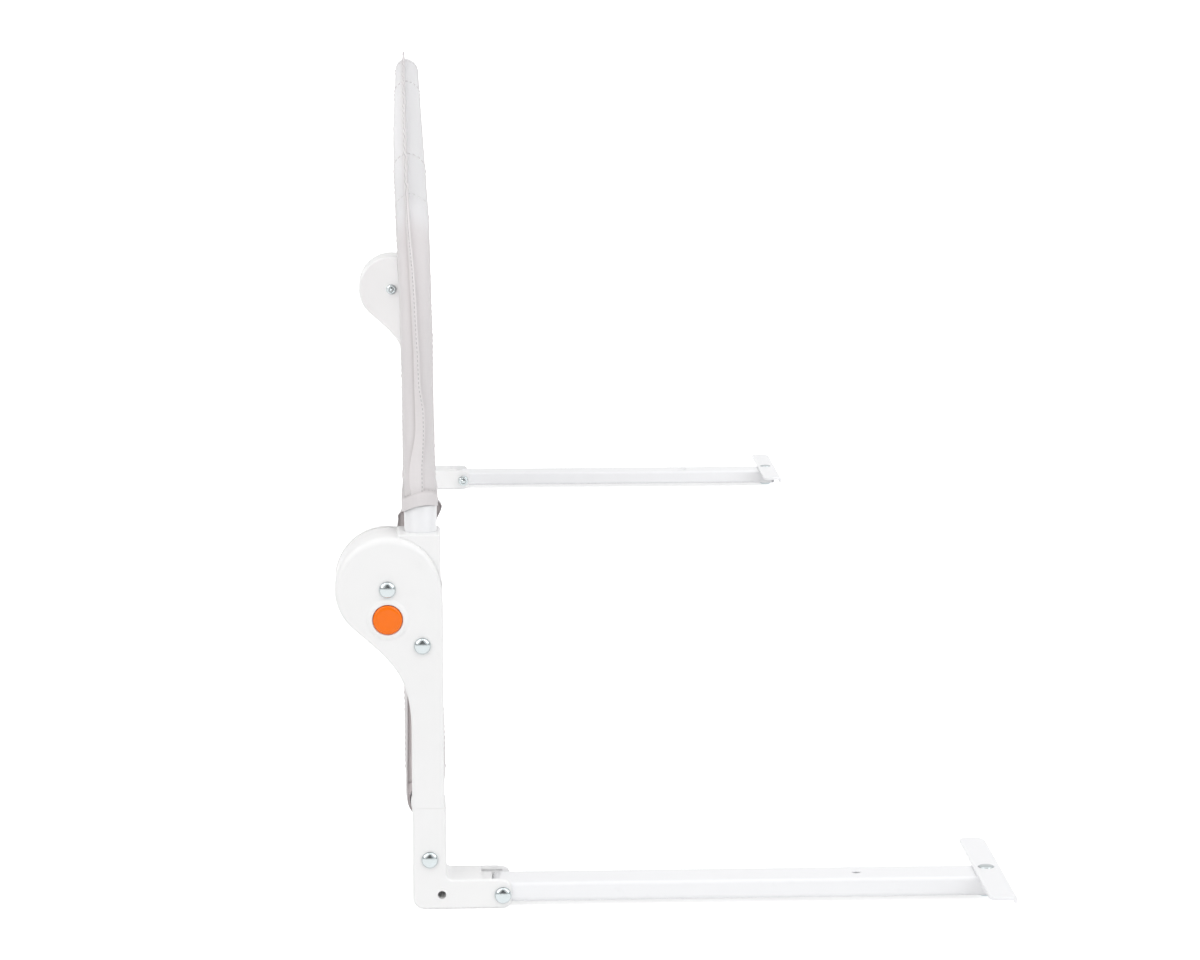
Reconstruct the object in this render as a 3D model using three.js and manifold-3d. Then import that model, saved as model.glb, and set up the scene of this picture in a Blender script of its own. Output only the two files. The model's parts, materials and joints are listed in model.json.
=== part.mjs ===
// Folding bed guard rail. Two legs slide under a mattress, a tube frame with a fabric cover
// stands up beside it, and a hinge with a push button in each leg lets the frame fold down outwards.
// Millimetres, +Z up, +X along the rail, +Y towards the bed. The origin is at the middle of the
// object's box, on the surface that it stands on. Pieces are worked out from the hinge axis, and
// "inboard" is the distance from a leg's outer face towards the middle of the rail.
import * as THREE from "three";
import { mergeVertices } from "three/addons/utils/BufferGeometryUtils.js";
import Module from "manifold-3d";

const wasm = await Module();
wasm.setup();

// Driving sizes of the whole rail
const RAIL_LENGTH = 1500;
const HINGE_HEIGHT = 193.3;
const SLEEVE_RISE = 218;
const SUPPORT_REACH = 365;

// Clearances that all pieces share
const SEAT = 0.3;
const OVERRUN = 4;
const WELD_DISTANCE = 1e-4;

// Hub: two fixed side plates with the swivelling drum between them
const HUB_RADIUS = 31;
const HUB_DEPTH = 42.5;
const OUTER_PLATE = 5;
const INNER_PLATE = 5.5;
const HUB_EDGE = 2.6;
const INNER_EDGE = 2;
const DRUM_INSET = 0.4;
const SWEEP_CLEARANCE = 0.5;
const CRADLE_WALL = 2;
const SHOULDER_ANGLE = 6.5;
const SHOULDER_DROP = 12;

// Neck: the S curve that takes the round hub down into the straight arm
const NECK_ANGLE = 228;
const NECK_LEAD = 28;
const NECK_END = 85;
const NECK_PULL = 35;
const NECK_STEP = 62;
const NECK_STEP_RUN = 13;

// Arm and the flat steel upright inside it
const ARM_WIDTH = 19;
const ARM_CENTRE = 23;
const ARM_DEPTH = 34;
const UPRIGHT_WIDTH = 14;
const UPRIGHT_DEPTH = 28;
const UPRIGHT_WALL = 1.4;
const UPRIGHT_TOP = 30.5;
const UPRIGHT_CORNER = 2;

// Rail tube, its socket in the drum and its bends
const TUBE_RADIUS = 9.5;
const FRAME_RADIUS = 8.6;
const FRAME_LEAN = 0.9;
const FRAME_INSERT = 4;
const FOOT_DROP = 0.6;
const FOOT_EDGE = 0.6;
const FOOT_WALL = 2.1;
const TUBE_WALL = 1;
const TUBE_OFFSET = 19.75;
const BEND_RADIUS = 70;
const SOCKET_FRONT_WALL = 4.65;
const SOCKET_BACK_WALL = 2.15;
const SOCKET_RISE = 0.5;
const SOCKET_FLOOR = 2;
const SOCKET_ROUND = 2;
const SOCKET_EDGE = 1;
const SOCKET_GROOVE = 1.3;
const SOCKET_GROOVE_DEPTH = 5;
const PLUG_LENGTH = 120;

// Lock button, its pin and its spring
const BUTTON_DROP = 17.8;
const BUTTON_RADIUS = 8.6;
const BUTTON_PROUD = 2.6;
const BUTTON_TRAVEL = 3;
const BUTTON_ROUND = 1;
const BUTTON_SKIRT = 0.4;
const STEM_RADIUS = 4.2;
const COLLAR_RADIUS = 6.4;
const COLLAR_LENGTH = 3;
const PIN_RADIUS = 3;
const PIN_LENGTH = 7.5;
const SPRING_RADIUS = 4.7;
const SPRING_WIRE = 1;
const SPRING_TURNS = 5;
const BUTTON_RIM = 2.6;
const BUTTON_RIM_HEIGHT = 0.9;
const CHANNEL_CLEARANCE = 1.1;

// Bolts, screws and nuts
const BOLT_RADIUS = 3;
const BOLT_HEAD = 4.9;
const SCREW_RADIUS = 2.1;
const SCREW_HEAD = 4.8;
const HEAD_HEIGHT = 2.6;
const HEAD_RIM = 0.8;
const HOLE_CLEARANCE = 0.3;
const NUT_RADIUS = 5.6;
const NUT_HEIGHT = 3;
const NUT_BORE_GAP = 0.3;
const BOLT_STANDOUT = 1.2;
const HUB_SCREW_SHIFT = -2.8;
const HUB_SCREW_DROP = 2.7;
const ELBOW_SCREW_SHIFT = 0.7;
const ELBOW_SCREW_DROP = 31.2;
const TUBE_SCREW_DROP = 6;
const TUBE_SCREW_HEAD = 3.2;
const TUBE_SCREW_SINK = 2.4;
const TUBE_SCREW_RADIUS = 1.5;

// Elbow at the foot of the leg
const ELBOW_RISE = 61.4;
const ELBOW_WIDTH = 20;
const ELBOW_TOE_REACH = 34.5;
const ELBOW_HEIGHT = 17.7;
const ELBOW_WALL = 2;
const ELBOW_FLOOR = 2.6;
const ELBOW_HEEL = 6.5;
const ELBOW_FILLET = 3.5;
const ELBOW_TOE = 5;
const ELBOW_EDGE = 1.2;
const ELBOW_POCKET = 42;
const CORNER_HOLE = { inset: 2.8, rise: 8.7, radius: 2.5, rim: 4.3, depth: 2 };
const EAR_RADIUS = 9.2;
const EAR_REACH = 8;
const EAR_FOOT = 14;
const SPIGOT_LENGTH = 30;

// Support that slides under the mattress
const SUPPORT_HEIGHT = 11.9;
const SUPPORT_WALL = 1.4;
const SUPPORT_SIDE_GAP = 0.6;
const SUPPORT_CORNER = 3;
const SUPPORT_PIVOT_INSET = 5.1;
const SLOT_LENGTH = 17.6;
const VENT_HOLE = { inset: 85.8, radius: 2.5 };
const PLUG_FLANGE = 2.4;
const PLUG_DEPTH = 14;
const PLATE_WIDTH = 15;
const PLATE_SPAN = 138;
const PLATE_THICKNESS = 2;
const PLATE_CORNER = 6;
const PLATE_LIP = 1.6;
const PLATE_LIP_DROP = 3;

// Crossbar between the legs and the cover round it
const CROSSBAR_SHIFT = -1;
const CROSSBAR_DROP = 5.1;
const COVER_WALL = 0.6;
const COVER_INSET = 43.5;
const HEM_RISE = 46;
const FIN_HEIGHT = 7;
const FIN_THICKNESS = 1.4;
const HEM_RADIUS = 12;
const HEM_TAPER = 26;
const HEM_EASE = 13;
const FOLD_GAP = 0.5;

// Steps of round surfaces
const CURVE_STEPS = 2;
const NECK_STEPS = 11;
const ROUND_STEPS = 2;
const DOME_STEPS = 3;
const TUBE_SIDES = 16;
const BOLT_SIDES = 12;
const DISC_SIDES = 40;
const COIL_STEPS = 8;
const COIL_SIDES = 5;
const SLEEVE_STEPS = 4;
const HEM_STEPS = 6;
const BEND_STEPS = 2 * SLEEVE_STEPS;

// Places that several pieces share
const HALF = RAIL_LENGTH / 2;
const GROUND = -HINGE_HEIGHT;
const DRUM_FROM = OUTER_PLATE + SEAT;
const DRUM_TO = HUB_DEPTH - INNER_PLATE - SEAT;
const PARTING = HUB_DEPTH / 2;
const TUBE_INBOARD = PARTING;
const SOCKET_LEFT = TUBE_OFFSET - TUBE_RADIUS - SOCKET_FRONT_WALL;
const SOCKET_RIGHT = TUBE_OFFSET + TUBE_RADIUS + SOCKET_BACK_WALL;
const SOCKET_TOP = HUB_RADIUS + SOCKET_RISE;
const DRUM_RADIUS = HUB_RADIUS - DRUM_INSET;
const CRADLE_RADIUS = SOCKET_RIGHT + SWEEP_CLEARANCE;
const ARM_LEFT = ARM_CENTRE - ARM_WIDTH / 2;
const ARM_RIGHT = ARM_CENTRE + ARM_WIDTH / 2;
const ARM_MIDDLE = ARM_DEPTH / 2;
const ELBOW_TOP = GROUND + ELBOW_RISE;
const ARM_END = -ELBOW_TOP - SEAT;
const ELBOW_LEFT = ARM_LEFT;
const ELBOW_RIGHT = ARM_LEFT + ELBOW_WIDTH;
const ELBOW_REACH = ARM_RIGHT + ELBOW_TOE + ELBOW_TOE_REACH;
const SUPPORT_PIVOT = ELBOW_REACH - SUPPORT_PIVOT_INSET;
const SLOT_START = ELBOW_REACH - SLOT_LENGTH;
const ELBOW_SHELF = GROUND + ELBOW_HEIGHT;
const SUPPORT_BOTTOM = GROUND + ELBOW_FLOOR + SEAT;
const SUPPORT_TOP = SUPPORT_BOTTOM + SUPPORT_HEIGHT;
const SUPPORT_AXIS = (SUPPORT_BOTTOM + SUPPORT_TOP) / 2;
const SUPPORT_FROM = ELBOW_WALL + SEAT;
const SUPPORT_TO = ARM_DEPTH - ELBOW_WALL - SUPPORT_SIDE_GAP;
const SUPPORT_END = SUPPORT_REACH - PLUG_FLANGE - SEAT;
const PLATE_CENTRE = SUPPORT_REACH - PLATE_WIDTH / 2;
const PLATE_BOTTOM = SUPPORT_TOP + SEAT;
const PLATE_TOP = PLATE_BOTTOM + PLATE_THICKNESS;
const FOOT_TOP = HEM_RISE - FOOT_DROP;
const SLEEVE_INNER = FRAME_RADIUS + SEAT;
const SLEEVE_RADIUS = SLEEVE_INNER + COVER_WALL;
const TUBE_TOP = SLEEVE_RISE - SLEEVE_RADIUS;
const EAR_FACE = ARM_DEPTH + EAR_REACH;
const HUB_SCREW = { y: ARM_CENTRE + HUB_SCREW_SHIFT, z: -HUB_RADIUS - HUB_SCREW_DROP };
const ELBOW_SCREW = { y: ARM_CENTRE + ELBOW_SCREW_SHIFT, z: ELBOW_TOP - ELBOW_SCREW_DROP };
const CROSSBAR = { y: ARM_CENTRE + CROSSBAR_SHIFT, z: ELBOW_TOP - CROSSBAR_DROP };
const TUBE_SCREW = { y: TUBE_OFFSET, z: SOCKET_TOP - TUBE_SCREW_DROP };
const COLLAR_FROM = OUTER_PLATE + SEAT;
const COLLAR_TO = COLLAR_FROM + COLLAR_LENGTH;
const PIN_TO = COLLAR_TO + PIN_LENGTH;
const CHANNEL_TO = PIN_TO + BUTTON_TRAVEL + SEAT;
const CHANNEL_HALF = COLLAR_RADIUS + CHANNEL_CLEARANCE;

// Directions in which an outline is drawn and then pushed out or turned
const ALONG_X = new THREE.Vector3(1, 0, 0);
const ALONG_Y = new THREE.Vector3(0, 1, 0);
const ALONG_Z = new THREE.Vector3(0, 0, 1);
const SIDE_VIEW = new THREE.Matrix4().makeBasis(ALONG_Y, ALONG_Z, ALONG_X);
const FRONT_VIEW = new THREE.Matrix4().makeBasis(ALONG_X, ALONG_Z, ALONG_Y.clone().negate());
const TURNED_INBOARD = new THREE.Matrix4().makeBasis(ALONG_Y, ALONG_X.clone().negate(), ALONG_Z);
const TURNED_UP = new THREE.Matrix4().makeBasis(ALONG_X, ALONG_Z, ALONG_Y.clone().negate());

// Solids and geometries

// A closed geometry as a solid that can be joined and cut, with its faces turned outwards.
function solid(geometry) {
  geometry.deleteAttribute("normal");
  geometry.deleteAttribute("uv");
  const merged = mergeVertices(geometry, WELD_DISTANCE);
  const points = merged.attributes.position;
  const corners = merged.index.array;
  const kept = [];
  let volume = 0;
  const [a, b, c] = [new THREE.Vector3(), new THREE.Vector3(), new THREE.Vector3()];
  for (let i = 0; i < corners.length; i += 3) {
    const [p, q, r] = [corners[i], corners[i + 1], corners[i + 2]];
    if (p === q || q === r || r === p) continue;
    kept.push(p, q, r);
    a.fromBufferAttribute(points, p);
    b.fromBufferAttribute(points, q);
    c.fromBufferAttribute(points, r);
    volume += a.dot(b.cross(c));
  }
  if (volume < 0) kept.reverse();
  return new wasm.Manifold(
    new wasm.Mesh({
      numProp: 3,
      vertProperties: points.array,
      triVerts: new Uint32Array(kept),
    }),
  );
}

// A solid as flat-shaded geometry.
function geometryOf(made) {
  const mesh = made.getMesh();
  const geometry = new THREE.BufferGeometry();
  geometry.setAttribute("position", new THREE.BufferAttribute(mesh.vertProperties, 3));
  geometry.setIndex(new THREE.BufferAttribute(mesh.triVerts, 1));
  geometry.computeVertexNormals();
  return geometry;
}

// An outline pushed out by a depth, with both ends' edges rounded when a radius is given.
function pushedOut(outline, depth, edge, curveSegments = CURVE_STEPS) {
  const geometry = new THREE.ExtrudeGeometry(outline, {
    depth: depth - 2 * edge,
    bevelEnabled: edge > 0,
    bevelThickness: edge,
    bevelSize: edge,
    bevelOffset: -edge,
    bevelSegments: ROUND_STEPS,
    curveSegments,
  });
  return geometry.translate(0, 0, edge);
}

// A side outline (y, z) that fills the space between two inboard distances.
function slab(outline, from, to, edge = 0, curveSegments = CURVE_STEPS) {
  const geometry = pushedOut(outline, to - from, edge, curveSegments).applyMatrix4(SIDE_VIEW);
  return solid(geometry.translate(HALF - to, 0, 0));
}

// A front outline (x, z) that fills the space between two places along y.
function frontSlab(outline, from, to, edge = 0) {
  const geometry = pushedOut(outline, to - from, edge).applyMatrix4(FRONT_VIEW);
  return solid(geometry.translate(0, to, 0));
}

// A box between inboard distances and places along y and z.
function block([from, to], [front, back], [low, high]) {
  const geometry = new THREE.BoxGeometry(to - from, back - front, high - low);
  const middle = HALF - (from + to) / 2;
  return solid(geometry.translate(middle, (front + back) / 2, (low + high) / 2));
}

// A profile of [radius, inboard distance] pairs turned about an axis along x.
function turned(profile, { y, z }, sides = BOLT_SIDES) {
  const points = profile.map(([radius, inboard]) => new THREE.Vector2(radius, inboard));
  const geometry = new THREE.LatheGeometry(points, sides).applyMatrix4(TURNED_INBOARD);
  return solid(geometry.translate(HALF, y, z));
}

// A profile of [radius, height] pairs turned about an upright axis.
function turnedUp(profile, inboard, y, sides = BOLT_SIDES) {
  const points = profile.map(([radius, height]) => new THREE.Vector2(radius, height));
  const geometry = new THREE.LatheGeometry(points, sides).applyMatrix4(TURNED_UP);
  return solid(geometry.translate(HALF - inboard, y, 0));
}

// A plain round bar along x, which also serves as a drill.
function bar(radius, from, to, place, sides = BOLT_SIDES) {
  return turned([[0, from], [radius, from], [radius, to], [0, to]], place, sides);
}

function circle(radius, y = 0, z = 0) {
  return new THREE.Shape().absarc(y, z, radius, 0, 2 * Math.PI);
}

// A rectangle with rounded corners.
function roundedRectangle(left, right, low, high, corner) {
  const shape = new THREE.Shape();
  shape.moveTo(left + corner, low);
  shape.absarc(right - corner, low + corner, corner, -Math.PI / 2, 0);
  shape.absarc(right - corner, high - corner, corner, 0, Math.PI / 2);
  shape.absarc(left + corner, high - corner, corner, Math.PI / 2, Math.PI);
  shape.absarc(left + corner, low + corner, corner, Math.PI, 1.5 * Math.PI);
  return shape;
}

// A path of two straight runs and the round bend between them, with its steps spent on the bend.
class BentPath extends THREE.Curve {
  constructor(start, corner, end, radius) {
    super();
    this.start = start;
    this.end = end;
    this.before = corner.clone().sub(start).normalize();
    this.after = end.clone().sub(corner).normalize();
    this.radius = radius;
    this.centre = corner.clone();
    this.centre.addScaledVector(this.before, -radius).addScaledVector(this.after, radius);
    this.steps = BEND_STEPS + 2;
  }
  turn(t) {
    return THREE.MathUtils.clamp((t * this.steps - 1) / BEND_STEPS, 0, 1) * (Math.PI / 2);
  }
  getPoint(t) {
    if (t * this.steps < 0.5) return this.start.clone();
    if (t * this.steps > this.steps - 0.5) return this.end.clone();
    const angle = this.turn(t);
    return this.centre
      .clone()
      .addScaledVector(this.after, -this.radius * Math.cos(angle))
      .addScaledVector(this.before, this.radius * Math.sin(angle));
  }
  getPointAt(t) {
    return this.getPoint(t);
  }
  getTangentAt(t) {
    const angle = this.turn(t);
    const tangent = this.before.clone().multiplyScalar(Math.cos(angle));
    return tangent.addScaledVector(this.after, Math.sin(angle));
  }
}

// A tube's ring-shaped section.
function tubeSection(outer, inner) {
  const section = circle(outer);
  section.holes.push(new THREE.Path().absarc(0, 0, inner, 0, 2 * Math.PI, true));
  return section;
}

// A straight tube along x, between two inboard distances.
function straightTube(outer, inner, from, to, place) {
  const geometry = new THREE.ExtrudeGeometry(tubeSection(outer, inner), {
    depth: to - from,
    bevelEnabled: false,
    curveSegments: TUBE_SIDES / 2,
  });
  return geometry.applyMatrix4(SIDE_VIEW).translate(HALF - to, place.y, place.z);
}

// Fasteners

// A domed screw with its head outside the near face and its shank through to another distance.
function domedScrew(place, head, radius, to, face = 0) {
  const under = face - SEAT;
  const top = under - HEAD_HEIGHT;
  const dome = [];
  for (let i = 0; i <= DOME_STEPS; i++) {
    const angle = (i / DOME_STEPS) * (Math.PI / 2);
    const reach = head * Math.sin(angle);
    dome.push([reach, top + (HEAD_HEIGHT - HEAD_RIM) * (1 - Math.cos(angle))]);
  }
  const profile = [...dome, [head, under], [radius, under], [radius, to], [0, to]];
  return turned(profile, place);
}

// A low round nut with a rounded rim, on the inner side of a leg.
function domedNut(place, bore, face) {
  const under = face + SEAT;
  const top = under + NUT_HEIGHT;
  const rim = NUT_HEIGHT / 3;
  const hole = bore + NUT_BORE_GAP;
  const profile = [
    [hole, under],
    [NUT_RADIUS, under],
    [NUT_RADIUS, top - rim],
    [NUT_RADIUS - rim, top],
    [hole, top],
    [hole, under],
  ];
  return turned(profile, place);
}

// Hub and arm

// The fixed plate: a disc about the hinge that runs through an S curve into the straight arm.
function legOutline(low) {
  const shoulder = THREE.MathUtils.degToRad(SHOULDER_ANGLE);
  const neck = THREE.MathUtils.degToRad(NECK_ANGLE);
  const start = new THREE.Vector2(Math.cos(neck), Math.sin(neck)).multiplyScalar(HUB_RADIUS);
  const lead = new THREE.Vector2(-Math.sin(neck), Math.cos(neck)).multiplyScalar(NECK_LEAD);
  const outline = new THREE.Shape();
  outline.moveTo(ARM_RIGHT, low);
  outline.lineTo(ARM_RIGHT, -SHOULDER_DROP);
  const [endY, endZ] = [HUB_RADIUS * Math.cos(shoulder), HUB_RADIUS * Math.sin(shoulder)];
  outline.quadraticCurveTo(ARM_RIGHT, 0, endY, endZ);
  outline.absarc(0, 0, HUB_RADIUS, shoulder, neck);
  outline.bezierCurveTo(
    start.x + lead.x,
    start.y + lead.y,
    ARM_LEFT,
    NECK_PULL - NECK_END,
    ARM_LEFT,
    -NECK_END,
  );
  outline.lineTo(ARM_LEFT, low);
  return outline;
}

// Everything that the drum and its socket sweep through between the two plates.
function sweptSpace(from, to) {
  const past = HUB_RADIUS + SOCKET_TOP;
  const cradle = bar(CRADLE_RADIUS, from, to, { y: 0, z: 0 }, DISC_SIDES);
  const folded = SWEEP_CLEARANCE - SOCKET_LEFT;
  return cradle
    .add(block([from, to], [-past, folded], [-NECK_STEP, past]))
    .add(block([from, to], [folded - OVERRUN, past], [0, past]));
}

// The pocket that holds the steel upright, kept clear of the cradle round the drum.
function uprightPocket(from, to) {
  const half = UPRIGHT_WIDTH / 2 + SEAT;
  const top = -UPRIGHT_TOP + SEAT;
  const pocket = block([from, to], [ARM_CENTRE - half, ARM_CENTRE + half], [-ARM_END - OVERRUN, top]);
  const guard = bar(CRADLE_RADIUS + CRADLE_WALL, from - OVERRUN, to + OVERRUN, { y: 0, z: 0 }, DISC_SIDES);
  return pocket.subtract(guard);
}

const UPRIGHT_FROM = ARM_MIDDLE - UPRIGHT_DEPTH / 2;
const UPRIGHT_TO = ARM_MIDDLE + UPRIGHT_DEPTH / 2;

function hubOuterShell() {
  const button = { y: 0, z: -BUTTON_DROP };
  const low = -ARM_END - HUB_EDGE - OVERRUN;
  const rimRadius = BUTTON_RADIUS + BUTTON_RIM;
  const well = BUTTON_SKIRT + BUTTON_TRAVEL + SEAT;
  const rim = turned(
    [
      [0, -BUTTON_RIM_HEIGHT],
      [rimRadius - BUTTON_RIM_HEIGHT, -BUTTON_RIM_HEIGHT],
      [rimRadius, 0],
      [rimRadius, OVERRUN / 2],
      [0, OVERRUN / 2],
    ],
    button,
    DISC_SIDES / 2,
  );
  return slab(legOutline(low), 0, PARTING + HUB_EDGE + SEAT, HUB_EDGE, NECK_STEPS)
    .add(rim)
    .subtract(block([PARTING - SEAT / 2, HUB_DEPTH], [-HUB_DEPTH, HUB_DEPTH], [2 * low, HUB_DEPTH]))
    .subtract(block([-OVERRUN, HUB_DEPTH], [0, ARM_RIGHT + OVERRUN], [2 * low, -ARM_END]))
    .subtract(sweptSpace(OUTER_PLATE, PARTING + OVERRUN))
    .subtract(uprightPocket(UPRIGHT_FROM - SEAT, PARTING + OVERRUN))
    .subtract(bar(BUTTON_RADIUS + HOLE_CLEARANCE, -OVERRUN, well, button, DISC_SIDES / 2))
    .subtract(bar(STEM_RADIUS + HOLE_CLEARANCE, 0, PARTING, button))
    .subtract(bar(BOLT_RADIUS + HOLE_CLEARANCE, -OVERRUN, PARTING, { y: 0, z: 0 }))
    .subtract(bar(SCREW_RADIUS + HOLE_CLEARANCE, -OVERRUN, PARTING + OVERRUN, HUB_SCREW));
}

function hubInnerShell() {
  const low = -ARM_END - INNER_EDGE - OVERRUN;
  const from = PARTING + SEAT / 2;
  const far = HALF - HUB_DEPTH - OVERRUN;
  const near = HALF - ARM_DEPTH;
  const step = new THREE.Shape();
  step.moveTo(near, 2 * low);
  step.lineTo(near, -NECK_STEP - NECK_STEP_RUN);
  step.lineTo(HALF - HUB_DEPTH, -NECK_STEP);
  step.lineTo(far, -NECK_STEP);
  step.lineTo(far, 2 * low);
  return slab(legOutline(low), from - INNER_EDGE - SEAT, HUB_DEPTH, INNER_EDGE, NECK_STEPS)
    .subtract(block([0, from], [-HUB_DEPTH, HUB_DEPTH], [2 * low, HUB_DEPTH]))
    .subtract(frontSlab(step, -OVERRUN, ARM_RIGHT + OVERRUN))
    .subtract(block([0, HUB_DEPTH + OVERRUN], [0, ARM_RIGHT + OVERRUN], [2 * low, -ARM_END]))
    .subtract(sweptSpace(from - OVERRUN, HUB_DEPTH - INNER_PLATE))
    .subtract(uprightPocket(from - OVERRUN, UPRIGHT_TO + SEAT))
    .subtract(bar(BOLT_RADIUS + HOLE_CLEARANCE, PARTING, HUB_DEPTH + OVERRUN, { y: 0, z: 0 }))
    .subtract(bar(SCREW_RADIUS + HOLE_CLEARANCE, 0, HUB_DEPTH + OVERRUN, HUB_SCREW));
}

// The flat steel tube that stiffens the arm and joins it to the elbow.
function uprightTube() {
  const half = UPRIGHT_WIDTH / 2;
  const [left, right] = [ARM_CENTRE - half, ARM_CENTRE + half];
  const [near, far] = [HALF - UPRIGHT_FROM, HALF - UPRIGHT_TO];
  const low = ELBOW_TOP - ELBOW_POCKET + SEAT;
  const length = -UPRIGHT_TOP - low;
  const section = roundedRectangle(far, near, left, right, UPRIGHT_CORNER);
  const inside = UPRIGHT_CORNER - UPRIGHT_WALL;
  const wall = UPRIGHT_WALL;
  const bore = roundedRectangle(far + wall, near - wall, left + wall, right - wall, inside);
  section.holes.push(new THREE.Path(bore.getPoints(ROUND_STEPS).reverse()));
  const geometry = new THREE.ExtrudeGeometry(section, {
    depth: length,
    bevelEnabled: false,
    curveSegments: ROUND_STEPS,
  });
  return solid(geometry.translate(0, 0, low))
    .subtract(bar(SCREW_RADIUS + HOLE_CLEARANCE, 0, ARM_DEPTH, HUB_SCREW))
    .subtract(bar(SCREW_RADIUS + HOLE_CLEARANCE, 0, ARM_DEPTH, ELBOW_SCREW));
}

// Swivel hub: the drum, the tube socket on it and the curved channel that the lock rides in

function channelOutline() {
  const [inner, outer] = [BUTTON_DROP - CHANNEL_HALF, BUTTON_DROP + CHANNEL_HALF];
  const quarter = Math.PI / 2;
  const channel = new THREE.Shape();
  channel.absarc(0, 0, outer, quarter, 3 * quarter);
  channel.absarc(0, -BUTTON_DROP, CHANNEL_HALF, 3 * quarter, 5 * quarter);
  channel.absarc(0, 0, inner, 3 * quarter, quarter, true);
  channel.absarc(0, BUTTON_DROP, CHANNEL_HALF, -quarter, quarter);
  return channel;
}

function swivelHub() {
  const socket = roundedRectangle(
    SOCKET_LEFT,
    SOCKET_RIGHT,
    -SOCKET_ROUND,
    SOCKET_TOP,
    SOCKET_ROUND,
  );
  const below = block([0, HUB_DEPTH], [DRUM_RADIUS - SOCKET_ROUND, HUB_RADIUS + OVERRUN], [-HUB_RADIUS, 0]);
  const groove = [SOCKET_LEFT - SOCKET_GROOVE, SOCKET_LEFT];
  const grooveSpan = [SOCKET_TOP - SOCKET_GROOVE_DEPTH, SOCKET_TOP + OVERRUN];
  const bore = TUBE_RADIUS + HOLE_CLEARANCE;
  const boreFloor = SOCKET_FLOOR - SEAT;
  const tubeHole = turnedUp(
    [[0, boreFloor], [bore, boreFloor], [bore, SOCKET_TOP + OVERRUN], [0, SOCKET_TOP + OVERRUN]],
    TUBE_INBOARD,
    TUBE_OFFSET,
    TUBE_SIDES,
  );
  return slab(socket, DRUM_FROM, DRUM_TO, SOCKET_EDGE)
    .subtract(below)
    .add(bar(DRUM_RADIUS, DRUM_FROM, DRUM_TO, { y: 0, z: 0 }, DISC_SIDES))
    .subtract(block([0, HUB_DEPTH], groove, grooveSpan))
    .subtract(tubeHole)
    .subtract(slab(channelOutline(), 0, CHANNEL_TO, 0, NECK_STEPS - CURVE_STEPS))
    .subtract(bar(BOLT_RADIUS + HOLE_CLEARANCE, 0, HUB_DEPTH, { y: 0, z: 0 }))
    .subtract(bar(TUBE_SCREW_RADIUS + HOLE_CLEARANCE, TUBE_INBOARD, HUB_DEPTH, TUBE_SCREW))
    .subtract(bar(TUBE_SCREW_HEAD + HOLE_CLEARANCE, DRUM_TO - TUBE_SCREW_SINK, HUB_DEPTH, TUBE_SCREW));
}

// The small screw that holds the rail tube in its socket, from the inner side.
function tubeScrew() {
  const under = DRUM_TO - TUBE_SCREW_SINK + SEAT;
  const tip = TUBE_INBOARD + TUBE_RADIUS - TUBE_WALL - SEAT;
  const profile = [
    [0, tip],
    [TUBE_SCREW_RADIUS, tip],
    [TUBE_SCREW_RADIUS, under],
    [TUBE_SCREW_HEAD, under],
    [TUBE_SCREW_HEAD, DRUM_TO - HEAD_RIM],
    [0, DRUM_TO],
  ];
  return turned(profile, TUBE_SCREW);
}

// Lock: button, pin with its collar, and return spring

function lockButton() {
  const front = -BUTTON_PROUD;
  const stem = OUTER_PLATE;
  const profile = [
    [0, front],
    [BUTTON_RADIUS - 2 * BUTTON_ROUND, front + BUTTON_ROUND / 4],
    [BUTTON_RADIUS - BUTTON_ROUND / 2, front + BUTTON_ROUND / 2],
    [BUTTON_RADIUS, front + BUTTON_ROUND],
    [BUTTON_RADIUS, BUTTON_SKIRT],
    [STEM_RADIUS, BUTTON_SKIRT],
    [STEM_RADIUS, stem],
    [0, stem],
  ];
  return turned(profile, { y: 0, z: -BUTTON_DROP }, DISC_SIDES / 2);
}

function lockPin() {
  const profile = [
    [0, COLLAR_FROM],
    [COLLAR_RADIUS, COLLAR_FROM],
    [COLLAR_RADIUS, COLLAR_TO],
    [PIN_RADIUS, COLLAR_TO],
    [PIN_RADIUS, PIN_TO],
    [0, PIN_TO],
  ];
  return turned(profile, { y: 0, z: -BUTTON_DROP });
}

// The helix of the return spring, about an axis along x.
class SpringPath extends THREE.Curve {
  getPoint(t) {
    const angle = 2 * Math.PI * SPRING_TURNS * t;
    const from = COLLAR_TO + SEAT + SPRING_WIRE / 2;
    const inboard = THREE.MathUtils.lerp(from, PIN_TO - SPRING_WIRE / 2, t);
    const [y, z] = [SPRING_RADIUS * Math.cos(angle), SPRING_RADIUS * Math.sin(angle)];
    return new THREE.Vector3(HALF - inboard, y, z - BUTTON_DROP);
  }
}

function buttonSpring() {
  const wire = new THREE.Shape();
  for (let i = 0; i < COIL_SIDES; i++) {
    const angle = (2 * Math.PI * i) / COIL_SIDES;
    const [u, v] = [Math.cos(angle), Math.sin(angle)];
    if (i === 0) wire.moveTo((SPRING_WIRE / 2) * u, (SPRING_WIRE / 2) * v);
    else wire.lineTo((SPRING_WIRE / 2) * u, (SPRING_WIRE / 2) * v);
  }
  const steps = SPRING_TURNS * COIL_STEPS;
  return solid(
    new THREE.ExtrudeGeometry(wire, { steps, extrudePath: new SpringPath(), bevelEnabled: false }),
  );
}

// Elbow with its clevis slot and the ear that carries the crossbar

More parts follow.
